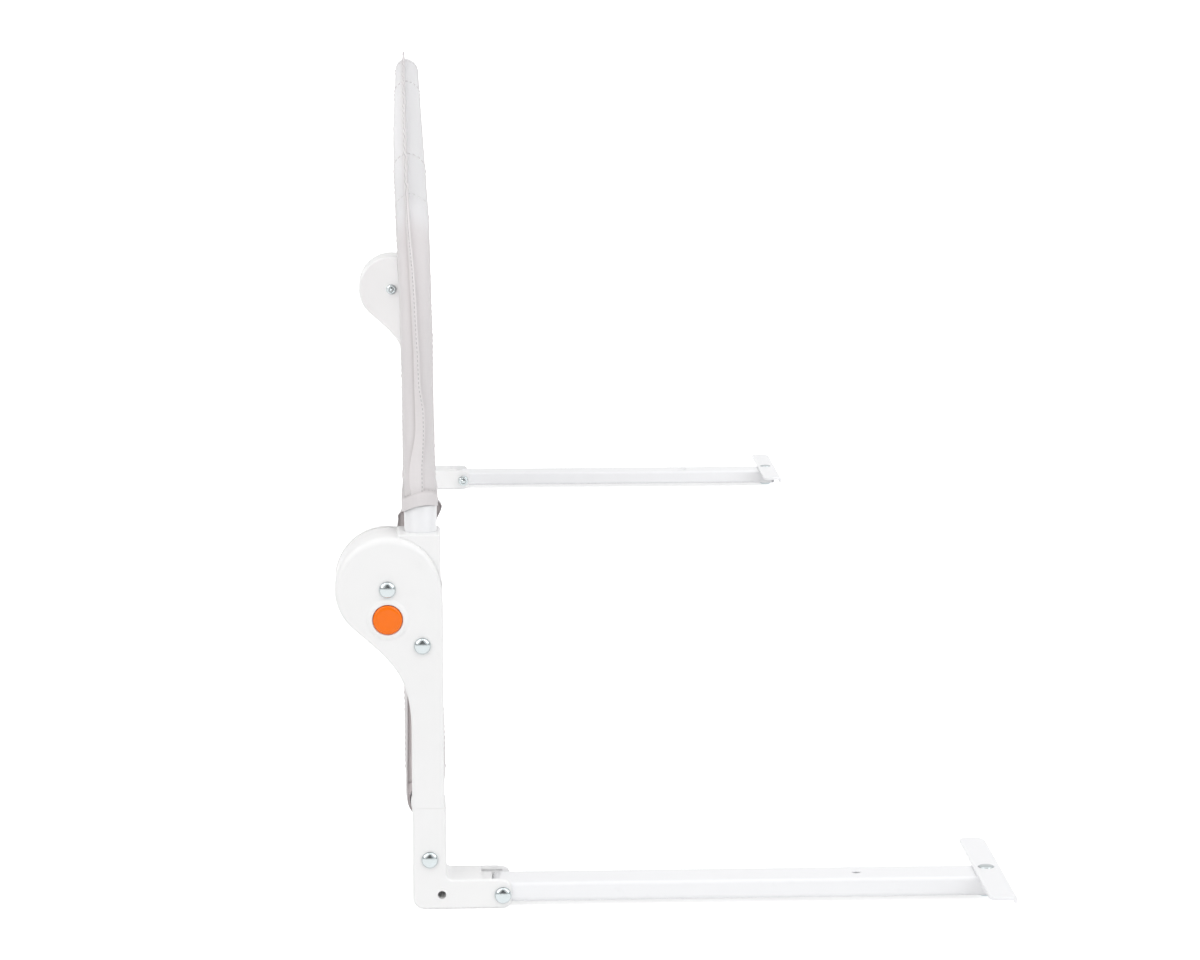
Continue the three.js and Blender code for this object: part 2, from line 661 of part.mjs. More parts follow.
function elbowOutline() {
  const quarter = Math.PI / 2;
  const outline = new THREE.Shape();
  const top = ELBOW_TOP + ELBOW_EDGE + SEAT;
  outline.moveTo(ELBOW_RIGHT, top);
  outline.lineTo(ELBOW_LEFT, top);
  outline.absarc(ELBOW_LEFT + ELBOW_HEEL, GROUND + ELBOW_HEEL, ELBOW_HEEL, 2 * quarter, 3 * quarter);
  outline.absarc(ELBOW_REACH - ELBOW_TOE, GROUND + ELBOW_TOE, ELBOW_TOE, -quarter, 0);
  outline.absarc(ELBOW_REACH - ELBOW_TOE, ELBOW_SHELF - ELBOW_TOE, ELBOW_TOE, 0, quarter);
  const fillet = [ELBOW_RIGHT + ELBOW_FILLET, ELBOW_SHELF + ELBOW_FILLET];
  outline.absarc(fillet[0], fillet[1], ELBOW_FILLET, 3 * quarter, 2 * quarter, true);
  return outline;
}

function elbow() {
  const through = [-OVERRUN, ARM_DEPTH + OVERRUN];
  const half = UPRIGHT_WIDTH / 2 + SEAT;
  const pocketFloor = ELBOW_TOP - ELBOW_POCKET;
  const pocketTop = ELBOW_TOP + OVERRUN;
  const corner = { y: ELBOW_RIGHT - CORNER_HOLE.inset, z: GROUND + CORNER_HOLE.rise };
  const pivot = { y: SUPPORT_PIVOT, z: SUPPORT_AXIS };
  const wallTop = ELBOW_TOP - ELBOW_EDGE;
  const earFrom = ARM_DEPTH + SEAT;
  const footLow = CROSSBAR.z - EAR_FOOT;
  const foot = block(
    [ARM_DEPTH - ELBOW_EDGE, EAR_FACE],
    [CROSSBAR.y - EAR_RADIUS / 2, CROSSBAR.y + EAR_RADIUS / 2],
    [footLow, wallTop],
  );
  const ear = bar(EAR_RADIUS, earFrom, EAR_FACE, CROSSBAR, DISC_SIDES / 2);
  const spigot = bar(TUBE_RADIUS - TUBE_WALL - SEAT, EAR_FACE - SEAT, EAR_FACE + SPIGOT_LENGTH, CROSSBAR);
  return slab(elbowOutline(), 0, ARM_DEPTH, ELBOW_EDGE)
    .subtract(block(through, [0, ELBOW_REACH], [ELBOW_TOP, ELBOW_TOP + OVERRUN]))
    .subtract(
      block(
        [UPRIGHT_FROM - SEAT, UPRIGHT_TO + SEAT],
        [ARM_CENTRE - half, ARM_CENTRE + half],
        [pocketFloor, pocketTop],
      ),
    )
    .subtract(
      block(
        [ELBOW_WALL, ARM_DEPTH - ELBOW_WALL],
        [SLOT_START, ELBOW_REACH + OVERRUN],
        [GROUND + ELBOW_FLOOR, ELBOW_SHELF + OVERRUN],
      ),
    )
    .subtract(bar(BOLT_RADIUS + HOLE_CLEARANCE, ...through, pivot))
    .subtract(bar(SCREW_RADIUS + HOLE_CLEARANCE, ...through, ELBOW_SCREW))
    .subtract(bar(CORNER_HOLE.radius, ...through, corner))
    .subtract(bar(CORNER_HOLE.rim, -OVERRUN, CORNER_HOLE.depth, corner))
    .add(foot)
    .add(ear)
    .add(spigot);
}

// Support tube, its plug, the cross plate on its end and their fastener

const SUPPORT_MIDDLE = (SUPPORT_FROM + SUPPORT_TO) / 2;

function supportTube() {
  const [left, right] = [HALF - SUPPORT_TO, HALF - SUPPORT_FROM];
  const round = SUPPORT_HEIGHT / 2;
  const section = roundedRectangle(left, right, SUPPORT_BOTTOM, SUPPORT_TOP, SUPPORT_CORNER);
  const side = new THREE.Shape();
  side.moveTo(SUPPORT_END, SUPPORT_TOP);
  side.absarc(SUPPORT_PIVOT, SUPPORT_AXIS, round, Math.PI / 2, 1.5 * Math.PI);
  side.lineTo(SUPPORT_END, SUPPORT_BOTTOM);
  const bore = block(
    [SUPPORT_FROM + SUPPORT_WALL, SUPPORT_TO - SUPPORT_WALL],
    [SUPPORT_PIVOT - round + SUPPORT_WALL, SUPPORT_REACH],
    [SUPPORT_BOTTOM + SUPPORT_WALL, SUPPORT_TOP - SUPPORT_WALL],
  );
  const vent = [[0, SUPPORT_AXIS], [VENT_HOLE.radius, SUPPORT_AXIS]];
  vent.push([VENT_HOLE.radius, SUPPORT_TOP + OVERRUN], [0, SUPPORT_TOP + OVERRUN]);
  return frontSlab(section, SUPPORT_PIVOT - round, SUPPORT_END)
    .intersect(slab(side, 0, ARM_DEPTH))
    .subtract(bore)
    .subtract(bar(BOLT_RADIUS + HOLE_CLEARANCE, 0, ARM_DEPTH, { y: SUPPORT_PIVOT, z: SUPPORT_AXIS }))
    .subtract(turnedUp(vent, SUPPORT_MIDDLE, SUPPORT_REACH - VENT_HOLE.inset))
    .subtract(plateDrill());
}

// The hole that the plate's screw passes through.
function plateDrill() {
  const radius = SCREW_RADIUS + HOLE_CLEARANCE;
  const [low, high] = [GROUND - OVERRUN, PLATE_TOP + OVERRUN];
  return turnedUp([[0, low], [radius, low], [radius, high], [0, high]], SUPPORT_MIDDLE, PLATE_CENTRE);
}

function tubePlug() {
  const [left, right] = [HALF - SUPPORT_TO, HALF - SUPPORT_FROM];
  const inset = SUPPORT_WALL + SEAT;
  const flange = roundedRectangle(left, right, SUPPORT_BOTTOM, SUPPORT_TOP, SUPPORT_CORNER);
  const body = block(
    [SUPPORT_FROM + inset, SUPPORT_TO - inset],
    [SUPPORT_END - PLUG_DEPTH, SUPPORT_REACH - PLUG_FLANGE + SEAT],
    [SUPPORT_BOTTOM + inset, SUPPORT_TOP - inset],
  );
  return frontSlab(flange, SUPPORT_REACH - PLUG_FLANGE, SUPPORT_REACH)
    .add(body)
    .subtract(plateDrill());
}

function crossPlate() {
  const [back, front] = [SUPPORT_REACH - PLATE_WIDTH, SUPPORT_REACH + SEAT + PLATE_LIP];
  const middle = HALF - ARM_MIDDLE;
  const span = PLATE_SPAN / 2 - PLATE_CORNER;
  const lip = block(
    [ARM_MIDDLE - span, ARM_MIDDLE + span],
    [SUPPORT_REACH + SEAT, front],
    [PLATE_BOTTOM - PLATE_LIP_DROP, PLATE_TOP - PLATE_THICKNESS / 2],
  );
  const plate = roundedRectangle(middle - PLATE_SPAN / 2, middle + PLATE_SPAN / 2, back, front, PLATE_CORNER);
  const geometry = pushedOut(plate, PLATE_THICKNESS, PLATE_THICKNESS / 4);
  return solid(geometry.translate(0, 0, PLATE_BOTTOM)).add(lip).subtract(plateDrill());
}

function plateScrew() {
  const seat = PLATE_TOP + SEAT;
  const foot = GROUND + NUT_BORE_GAP;
  const profile = [
    [0, foot],
    [SCREW_RADIUS, foot],
    [SCREW_RADIUS, seat],
    [SCREW_HEAD, seat],
    [SCREW_HEAD, seat + HEAD_RIM],
    [SCREW_HEAD * Math.cos(Math.PI / 4), seat + HEAD_HEIGHT * Math.sin(Math.PI / 4)],
    [0, seat + HEAD_HEIGHT],
  ];
  return turnedUp(profile, SUPPORT_MIDDLE, PLATE_CENTRE);
}

// The low nut under the tube, on which the far end of the support stands.
function plateNut() {
  const hole = SCREW_RADIUS + NUT_BORE_GAP;
  const top = SUPPORT_BOTTOM - SEAT;
  const rim = (top - GROUND) / 4;
  const profile = [
    [hole, GROUND],
    [NUT_RADIUS - rim, GROUND],
    [NUT_RADIUS, GROUND + rim],
    [NUT_RADIUS, top],
    [hole, top],
    [hole, GROUND],
  ];
  return turnedUp(profile, SUPPORT_MIDDLE, PLATE_CENTRE);
}

// Rail frame and crossbar, each in two halves over a plug in the middle

// The frame and what is on it lean out a little, as its tube does in its swaged foot.
function leaned(made) {
  return made
    .translate([0, -TUBE_OFFSET, -FOOT_TOP])
    .rotate([FRAME_LEAN, 0, 0])
    .translate([0, TUBE_OFFSET, FOOT_TOP]);
}

function railTube() {
  const x = HALF - TUBE_INBOARD;
  const start = new THREE.Vector3(x, TUBE_OFFSET, FOOT_TOP - FRAME_INSERT);
  const corner = new THREE.Vector3(x, TUBE_OFFSET, TUBE_TOP);
  const end = new THREE.Vector3(SEAT / 2, TUBE_OFFSET, TUBE_TOP);
  const path = new BentPath(start, corner, end, BEND_RADIUS);
  const geometry = new THREE.ExtrudeGeometry(tubeSection(FRAME_RADIUS, FRAME_RADIUS - TUBE_WALL), {
    steps: path.steps,
    extrudePath: path,
    bevelEnabled: false,
    curveSegments: TUBE_SIDES / 2,
  });
  const bore = TUBE_RADIUS - FOOT_WALL;
  const foot = [
    [bore, SOCKET_FLOOR],
    [TUBE_RADIUS, SOCKET_FLOOR],
    [TUBE_RADIUS, FOOT_TOP - FOOT_EDGE],
    [TUBE_RADIUS - FOOT_EDGE, FOOT_TOP],
    [bore, FOOT_TOP],
    [bore, SOCKET_FLOOR],
  ];
  return leaned(solid(geometry))
    .add(turnedUp(foot, TUBE_INBOARD, TUBE_OFFSET, TUBE_SIDES))
    .subtract(bar(TUBE_SCREW_RADIUS + HOLE_CLEARANCE, TUBE_INBOARD, HUB_DEPTH, TUBE_SCREW));
}

function crossbarTube() {
  const from = EAR_FACE + SEAT;
  const bore = TUBE_RADIUS - TUBE_WALL;
  return solid(straightTube(TUBE_RADIUS, bore, from, HALF - SEAT / 2, CROSSBAR));
}

// The plug inside the middle of a tube.
function middlePlug(place, radius) {
  const outer = radius - TUBE_WALL - SEAT;
  const [from, to] = [HALF - PLUG_LENGTH / 2, HALF + PLUG_LENGTH / 2];
  return solid(straightTube(outer, outer - TUBE_WALL, from, to, place));
}

// Cover: a bag that slips over the rail frame and is closed round the crossbar

// The frame's centre line seen from the front, closed below the hinge.
function frameOutline(low) {
  const x = HALF - TUBE_INBOARD;
  const quarter = Math.PI / 2;
  const outline = new THREE.Shape();
  outline.moveTo(-x, low);
  outline.lineTo(x, low);
  outline.absarc(x - BEND_RADIUS, TUBE_TOP - BEND_RADIUS, BEND_RADIUS, 0, quarter);
  outline.absarc(BEND_RADIUS - x, TUBE_TOP - BEND_RADIUS, BEND_RADIUS, quarter, 2 * quarter);
  return outline;
}

// A flat bag with half-round edges about the frame's centre line.
function bag(radius) {
  const geometry = new THREE.ExtrudeGeometry(frameOutline(-HEM_RISE), {
    depth: SEAT / 10,
    bevelEnabled: true,
    bevelThickness: radius - SEAT / 20,
    bevelSize: radius,
    bevelSegments: SLEEVE_STEPS,
    curveSegments: SLEEVE_STEPS,
  });
  geometry.translate(0, 0, -SEAT / 20).applyMatrix4(FRONT_VIEW);
  return solid(geometry.translate(0, TUBE_OFFSET, 0));
}

// The flat seam that stands up all round the bag's edge.
function seamFin() {
  const reach = SLEEVE_RADIUS + FIN_HEIGHT;
  const geometry = new THREE.ExtrudeGeometry(frameOutline(-HEM_RISE), {
    depth: FIN_THICKNESS / 2,
    bevelEnabled: true,
    bevelThickness: FIN_THICKNESS / 4,
    bevelSize: FIN_THICKNESS / 4,
    bevelOffset: reach - FIN_THICKNESS / 4,
    bevelSegments: 1,
    curveSegments: SLEEVE_STEPS,
  });
  geometry.translate(0, 0, -FIN_THICKNESS / 4).applyMatrix4(FRONT_VIEW);
  return solid(geometry.translate(0, TUBE_OFFSET, 0));
}

// The upper part of the bag, which turns with the frame.
function coverUpper() {
  const deep = [TUBE_OFFSET - HUB_DEPTH, TUBE_OFFSET + HUB_DEPTH];
  const below = [-2 * HEM_RISE, FOLD_GAP];
  const notch = [-OVERRUN - FIN_HEIGHT, COVER_INSET];
  const farNotch = [RAIL_LENGTH - COVER_INSET, RAIL_LENGTH + OVERRUN + FIN_HEIGHT];
  return leaned(bag(SLEEVE_RADIUS).add(seamFin()).subtract(bag(SLEEVE_INNER)))
    .subtract(block([-OVERRUN, RAIL_LENGTH + OVERRUN], deep, below))
    .subtract(block(notch, deep, [-2 * HEM_RISE, HEM_RISE]))
    .subtract(block(farNotch, deep, [-2 * HEM_RISE, HEM_RISE]));
}

// The lower part: two layers that hang to the crossbar and close round it in a doubled hem.
function coverLower() {
  const [front, back] = [TUBE_OFFSET - SLEEVE_RADIUS, TUBE_OFFSET + SLEEVE_RADIUS];
  const [y, z] = [CROSSBAR.y, CROSSBAR.z];
  const inner = TUBE_RADIUS + SEAT;
  const high = z + HEM_TAPER;
  const profile = new THREE.Shape();
  profile.moveTo(front, -FOLD_GAP);
  profile.lineTo(front, high);
  profile.quadraticCurveTo(y - HEM_RADIUS, z + HEM_EASE, y - HEM_RADIUS, z);
  profile.absarc(y, z, HEM_RADIUS, Math.PI, 2 * Math.PI);
  profile.quadraticCurveTo(y + HEM_RADIUS, z + HEM_EASE, back, high);
  profile.lineTo(back, -FOLD_GAP);
  profile.lineTo(back - COVER_WALL, -FOLD_GAP);
  profile.lineTo(back - COVER_WALL, high);
  profile.quadraticCurveTo(y + inner, z + HEM_EASE, y + inner, z);
  profile.absarc(y, z, inner, 2 * Math.PI, Math.PI, true);
  profile.quadraticCurveTo(y - inner, z + HEM_EASE, front + COVER_WALL, high);
  profile.lineTo(front + COVER_WALL, -FOLD_GAP);
  return slab(profile, COVER_INSET, RAIL_LENGTH - COVER_INSET, 0, HEM_STEPS);
}

// Finishes
const WHITE_PLASTIC = { color: 0xf4f4f3, roughness: 0.42, metalness: 0 };
const WHITE_STEEL = { color: 0xf2f3f5, roughness: 0.3, metalness: 0.1 };
const ORANGE_PLASTIC = { color: 0xfd7d2f, roughness: 0.4, metalness: 0 };
const ZINC = { color: 0xb9bec0, roughness: 0.25, metalness: 1 };
const GREY_FABRIC = { color: 0xd6d2d0, roughness: 0.9, metalness: 0 };

function piece(name, made, finish) {
  const mesh = new THREE.Mesh(geometryOf(made), new THREE.MeshStandardMaterial(finish));
  mesh.name = name;
  return mesh;
}

// The pieces of one end, made once for the right and used again, mirrored, for the left.
const HINGE = { y: 0, z: 0 };
const SUPPORT_HINGE = { y: SUPPORT_PIVOT, z: SUPPORT_AXIS };
const armBolt = (to) => to + SEAT + NUT_HEIGHT + BOLT_STANDOUT;
const endPieces = [
  ["hub_outer_shell", hubOuterShell(), WHITE_PLASTIC],
  ["hub_inner_shell", hubInnerShell(), WHITE_PLASTIC],
  ["upright_tube", uprightTube(), WHITE_STEEL],
  ["swivel_hub", swivelHub(), WHITE_PLASTIC],
  ["pivot_bolt", domedScrew(HINGE, BOLT_HEAD, BOLT_RADIUS, armBolt(HUB_DEPTH)), ZINC],
  ["pivot_nut", domedNut(HINGE, BOLT_RADIUS, HUB_DEPTH), ZINC],
  ["hub_screw", domedScrew(HUB_SCREW, SCREW_HEAD, SCREW_RADIUS, armBolt(HUB_DEPTH)), ZINC],
  ["hub_nut", domedNut(HUB_SCREW, SCREW_RADIUS, HUB_DEPTH), ZINC],
  ["lock_button", lockButton(), ORANGE_PLASTIC],
  ["lock_pin", lockPin(), ZINC],
  ["button_spring", buttonSpring(), ZINC],
  ["elbow", elbow(), WHITE_PLASTIC],
  ["elbow_screw", domedScrew(ELBOW_SCREW, SCREW_HEAD, SCREW_RADIUS, armBolt(ARM_DEPTH)), ZINC],
  ["elbow_nut", domedNut(ELBOW_SCREW, SCREW_RADIUS, ARM_DEPTH), ZINC],
  ["support_bolt", domedScrew(SUPPORT_HINGE, BOLT_HEAD, BOLT_RADIUS, armBolt(ARM_DEPTH)), ZINC],
  ["support_nut", domedNut(SUPPORT_HINGE, BOLT_RADIUS, ARM_DEPTH), ZINC],
  ["support_tube", supportTube(), WHITE_STEEL],
  ["tube_plug", tubePlug(), WHITE_PLASTIC],
  ["cross_plate", crossPlate(), WHITE_STEEL],
  ["plate_screw", plateScrew(), ZINC],
  ["plate_nut", plateNut(), ZINC],
  ["rail_tube", railTube(), WHITE_STEEL],
  ["tube_screw", tubeScrew(), ZINC],
  ["crossbar", crossbarTube(), WHITE_STEEL],
];

const guardRail = new THREE.Group();
for (const [side, mirror] of [["right", 1], ["left", -1]]) {
  const end = new THREE.Group();
  end.scale.x = mirror;
  for (const [name, made, finish] of endPieces) end.add(piece(`${side}_${name}`, made, finish));
  guardRail.add(end);
}
const railMiddle = { y: TUBE_OFFSET, z: TUBE_TOP };
guardRail.add(piece("rail_connector", leaned(middlePlug(railMiddle, FRAME_RADIUS)), WHITE_STEEL));
guardRail.add(piece("crossbar_connector", middlePlug(CROSSBAR, TUBE_RADIUS), WHITE_STEEL));
guardRail.add(piece("cover_upper", coverUpper(), GREY_FABRIC));
guardRail.add(piece("cover_lower", coverLower(), GREY_FABRIC));
guardRail.position.set(0, (HUB_RADIUS - SUPPORT_REACH) / 2, HINGE_HEIGHT);

export default guardRail;
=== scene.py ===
"""Folding bed guard rail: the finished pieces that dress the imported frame, and the studio they stand in.

Lengths in the tables below are millimetres from the hinge axis: "inboard" runs from a leg's outer
face towards the middle of the rail, then y towards the bed and z up.
"""
import json
import math

import bmesh
import bpy
import numpy as np
from bpy.props import FloatProperty, FloatVectorProperty, IntProperty, PointerProperty
from mathutils import Matrix, Vector


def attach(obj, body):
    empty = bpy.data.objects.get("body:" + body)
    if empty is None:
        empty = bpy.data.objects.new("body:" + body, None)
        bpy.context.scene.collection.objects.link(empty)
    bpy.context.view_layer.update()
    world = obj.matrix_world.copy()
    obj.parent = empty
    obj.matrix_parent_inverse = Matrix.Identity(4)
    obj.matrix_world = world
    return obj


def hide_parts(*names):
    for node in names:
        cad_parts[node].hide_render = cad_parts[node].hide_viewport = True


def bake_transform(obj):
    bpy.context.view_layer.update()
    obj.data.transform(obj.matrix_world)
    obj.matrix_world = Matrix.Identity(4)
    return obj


bl_info = {
    "name": "Folding Bed Guard Rail",
    "version": (1, 0, 0),
    "blender": (4, 5, 0),
    "location": "View3D > Sidebar > Guard Rail",
    "description": "Builds the visible pieces of a fold-down bed guard rail and its studio",
    "category": "Object",
}

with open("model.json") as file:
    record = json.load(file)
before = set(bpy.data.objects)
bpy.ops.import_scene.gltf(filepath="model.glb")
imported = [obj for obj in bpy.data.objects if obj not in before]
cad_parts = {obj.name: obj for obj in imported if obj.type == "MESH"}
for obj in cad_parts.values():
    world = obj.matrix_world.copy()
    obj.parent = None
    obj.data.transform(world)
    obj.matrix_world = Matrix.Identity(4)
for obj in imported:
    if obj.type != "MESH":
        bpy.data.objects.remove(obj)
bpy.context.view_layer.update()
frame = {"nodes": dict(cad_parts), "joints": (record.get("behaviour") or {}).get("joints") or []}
HINGE = Vector(next(j["pos_m"] for j in frame["joints"] if j["name"] == "rail_fold"))
SIDES = (("right", 1), ("left", -1))

MM = 0.001
HALF = 750.0
GROUND = -HINGE.z / MM

# Gaps and holes that several pieces share
MIDDLE_GAP = 0.15
HEAD_GAP = 0.3
BOLT_HOLE, SCREW_HOLE = 3.3, 2.4
SHARP = 0.01

# Leg: hub, arm, elbow and the pocket for the flat upright
HUB_DEPTH = 42.5
PARTING = HUB_DEPTH / 2
ARM_LEFT, ARM_RIGHT, ARM_DEPTH = 13.5, 32.5, 34.0
POCKET = (15.7, 30.3)
ELBOW_TOP = GROUND + 61.4
ARM_END = ELBOW_TOP + 0.08
ARM_LAP = ARM_END - 8
SHELF = GROUND + 17.7
ELBOW_REACH = 72.0
CORNER_HOLE = (30.7, GROUND + 8.7)
HUB_SCREW = (20.2, -33.7)
ELBOW_SCREW = (23.7, ELBOW_TOP - 31.2)
BUTTON_Z = -17.8

# Swivelling drum, its tube socket and the space that both sweep through
DRUM = (5.3, 36.7, 30.6)
SOCKET = (5.6, 31.4, 31.5)
CRADLE, SWEEP = 31.9, 62.5
TUBE_SCREW_Z = 25.5

# Support, cross plate and crossbar
SUPPORT = (66.9, GROUND + 8.85)
SUPPORT_HALF = 5.95
SUPPORT_SPAN = (2.3, 31.4)
SUPPORT_MIDDLE = sum(SUPPORT_SPAN) / 2
SUPPORT_LOW, SUPPORT_HIGH = SUPPORT[1] - SUPPORT_HALF, SUPPORT[1] + SUPPORT_HALF
SUPPORT_END = 362.3
SUPPORT_WALL, SUPPORT_CORNER = 1.4, 3.0
VENT_Y = 279.2
PLATE_Y = 357.5
PLATE_GAP, PLATE_THICK = 0.3, 2.0
CROSSBAR = (22.0, ELBOW_TOP - 5.1)

# Rail frame and the edge of its cover
TUBE_Y = 19.75
FRAME_START, LEAN_START = 39.4, 45.4
BEND = 70.0
TOP_Z = 208.5
LEAN = math.tan(math.radians(0.9))
COVER_EDGE = 706.5


class GuardRailSizes(bpy.types.PropertyGroup):
    """Sizes that a maker would change between models of this rail."""

    hub_radius: FloatProperty(
        name="Hub radius", description="Radius of the round hinge hub", default=0.031, unit="LENGTH"
    )
    hub_fillet: FloatProperty(
        name="Hub fillet", description="Largest rounding round the hub's face", default=0.0045, unit="LENGTH"
    )
    tube_radius: FloatProperty(
        name="Tube radius", description="Radius of the crossbar and of the frame's feet", default=0.0095,
        unit="LENGTH",
    )
    frame_radius: FloatProperty(
        name="Frame radius", description="Radius of the bent frame above its feet", default=0.0086,
        unit="LENGTH",
    )
    bend_radius: FloatProperty(
        name="Bend radius", description="Radius of the frame's two top corners", default=BEND * MM,
        unit="LENGTH",
    )
    fin_height: FloatProperty(
        name="Seam height", description="How far the cover's edge seam stands out", default=0.006,
        unit="LENGTH",
    )
    stitch_length: FloatProperty(
        name="Stitch length", description="Pitch of the top stitching", default=0.0036, unit="LENGTH"
    )
    weave_pitch: FloatProperty(
        name="Weave pitch", description="Distance between the cloth's threads", default=0.0006, unit="LENGTH"
    )
    net_pitch: FloatProperty(
        name="Net pitch", description="Distance between the holes of the window net", default=0.0028,
        unit="LENGTH",
    )
    round_steps: IntProperty(
        name="Round steps", description="Faces round a tube or a screw head", default=48, min=16, max=96
    )


class GuardRailColours(bpy.types.PropertyGroup):
    """Colours of the rail's finishes."""

    plastic: FloatVectorProperty(
        name="Plastic", description="Moulded hubs and elbows", subtype="COLOR", default=(0.885, 0.885, 0.885)
    )
    steel: FloatVectorProperty(
        name="Steel", description="Powder-coated tubes", subtype="COLOR", default=(0.88, 0.885, 0.9)
    )
    zinc: FloatVectorProperty(
        name="Zinc", description="Plated screws and nuts", subtype="COLOR", default=(0.5, 0.54, 0.545)
    )
    button: FloatVectorProperty(
        name="Button", description="Push buttons", subtype="COLOR", default=(0.95, 0.175, 0.0)
    )
    fabric: FloatVectorProperty(
        name="Fabric", description="Woven cover", subtype="COLOR", default=(0.765, 0.737, 0.742)
    )
    thread: FloatVectorProperty(
        name="Thread", description="Top stitching", subtype="COLOR", default=(0.72, 0.7, 0.705)
    )


# Shader maths


class Wire:
    """A node's output, whose operators add Math nodes."""

    def __init__(self, finish, socket):
        self.finish = finish
        self.socket = socket

    def maths(self, operation, *values, clamp=False):
        """Any operation of a Math node on this value and others."""
        sockets = dict(enumerate([self, *values]))
        return self.finish.node("ShaderNodeMath", {"operation": operation, "use_clamp": clamp}, sockets)

    def __add__(self, other):
        return self.maths("ADD", other)

    def __mul__(self, other):
        return self.maths("MULTIPLY", other)

    def __sub__(self, other):
        return self.maths("SUBTRACT", other)

    def __truediv__(self, other):
        return self.maths("DIVIDE", other)

    def __rsub__(self, other):
        return self.finish.node("ShaderNodeMath", {"operation": "SUBTRACT"}, {0: other, 1: self})

    __radd__ = __add__
    __rmul__ = __mul__

    def above(self, edge, soft):
        """0 below an edge and 1 above it, with a soft step between."""
        settings = {"interpolation_type": "SMOOTHSTEP"}
        return self.finish.node("ShaderNodeMapRange", settings, {0: self, 1: edge - soft, 2: edge + soft})

    def clamped(self):
        """The value held between 0 and 1."""
        return self.maths("ADD", 0.0, clamp=True)


class Finish:
    """A material or world whose nodes are added by one method."""

    def __init__(self, name, kind="materials", place="Object"):
        self.material = getattr(bpy.data, kind).new(name)
        self.material.use_nodes = True
        self.tree = self.material.node_tree
        self.tree.nodes.clear()
        self.place = self.node("ShaderNodeTexCoord", out=place)

    def parts(self):
        """The place's three coordinates."""
        split = self.node("ShaderNodeSeparateXYZ", None, {0: self.place}).socket.node
        return [Wire(self, socket) for socket in split.outputs]

    def node(self, kind, settings=None, sockets=None, out=0):
        """Adds a node with its settings and socket values, and links every socket that is given a Wire."""
        node = self.tree.nodes.new(kind)
        for key, value in (settings or {}).items():
            setattr(node, key, value)
        for key, value in (sockets or {}).items():
            if isinstance(value, Wire):
                self.tree.links.new(value.socket, node.inputs[key])
            else:
                node.inputs[key].default_value = value
        return Wire(self, node.outputs[out])

    def noise(self, scale, detail=2.0, roughness=0.5, stretch=None, seed=0.0, out="Fac"):
        """A noise texture at the place, which can be stretched."""
        place = self.scaled(stretch) if stretch else self.place
        return self.node(
            "ShaderNodeTexNoise", {"noise_dimensions": "4D"},
            {"Vector": place, "W": seed, "Scale": scale, "Detail": detail, "Roughness": roughness}, out=out,
        )

    def scaled(self, factors):
        """The place with each coordinate scaled."""
        return self.node("ShaderNodeVectorMath", {"operation": "MULTIPLY"}, {0: self.place, 1: factors})

    def mix(self, factor, first, second):
        """A colour between two others."""
        return self.node("ShaderNodeMix", {"data_type": "RGBA"}, {0: factor, 6: first, 7: second}, out=2)

    def bump(self, height, distance, strength=1.0, normal=None):
        """A normal bent by a height, on top of another normal if one is given."""
        sockets = {"Height": height, "Distance": distance, "Strength": strength}
        if normal:
            sockets["Normal"] = normal
        return self.node("ShaderNodeBump", None, sockets)

    def surface(self, **sockets):
        """Ends the material in a Principled shader with the given socket values."""
        named = {key.replace("_", " "): value for key, value in sockets.items()}
        self.finish_with(self.node("ShaderNodeBsdfPrincipled", None, named))
        return self.material

    def finish_with(self, shader, kind="Material"):
        """Links a shader to the material's or the world's output."""
        output = self.tree.nodes.new(f"ShaderNodeOutput{kind}")
        self.tree.links.new(shader.socket, output.inputs["Surface"])


def opaque(colour, share=1.0):
    """A colour made lighter or darker, with full alpha."""
    return (*[min(1.0, part * share) for part in colour], 1.0)


def tinted(colour, shares):
    """A colour with each part scaled by its share."""
    return [part * share for part, share in zip(colour, shares)]


def moulded_plastic(name, colour, grain=1.0, roughness=0.42, shine=0.45):
    """Moulded polypropylene: spark-eroded grain, slow sink marks and faint handling dust."""
    made = Finish(name)
    fine = made.noise(2600.0, 2.0, 0.6)
    medium = made.noise(620.0, 3.0, 0.55, seed=3.0)
    slow = made.noise(26.0, 2.0, 0.5, seed=7.0)
    dust = made.noise(90.0, 5.0, 0.65, seed=11.0).above(0.62, 0.12)
    tone = made.mix(slow.above(0.5, 0.3), opaque(colour, 0.985), opaque(colour, 1.01))
    tone = made.mix(dust * 0.3, tone, opaque(colour, 0.955))
    rough = fine * 0.1 + slow * 0.08 + dust * 0.06 + (roughness - 0.1)
    normal = made.bump(slow, 0.00012, 0.5)
    normal = made.bump(fine * 0.6 + medium * 0.4, 0.00003 * grain, 0.55, normal)
    return made.surface(Base_Color=tone, Roughness=rough, Normal=normal, Specular_IOR_Level=shine)


def powder_coat(name, colour):
    """Baked powder coat: orange peel, a soft gloss and small rubbed spots."""
    made = Finish(name)
    peel = made.noise(900.0, 2.0, 0.45)
    slow = made.noise(14.0, 2.0, 0.5, seed=5.0)
    rub = made.noise(160.0, 4.0, 0.6, seed=9.0).above(0.66, 0.08)
    tone = made.mix(slow, opaque(colour, 0.985), opaque(colour, 1.005))
    tone = made.mix(rub * 0.35, tone, opaque(colour, 0.93))
    rough = peel * 0.07 + rub * 0.16 + 0.26
    normal = made.bump(peel, 0.00005, 0.5)
    return made.surface(
        Base_Color=tone, Roughness=rough, Normal=normal, Coat_Weight=0.25, Coat_Roughness=0.18
    )


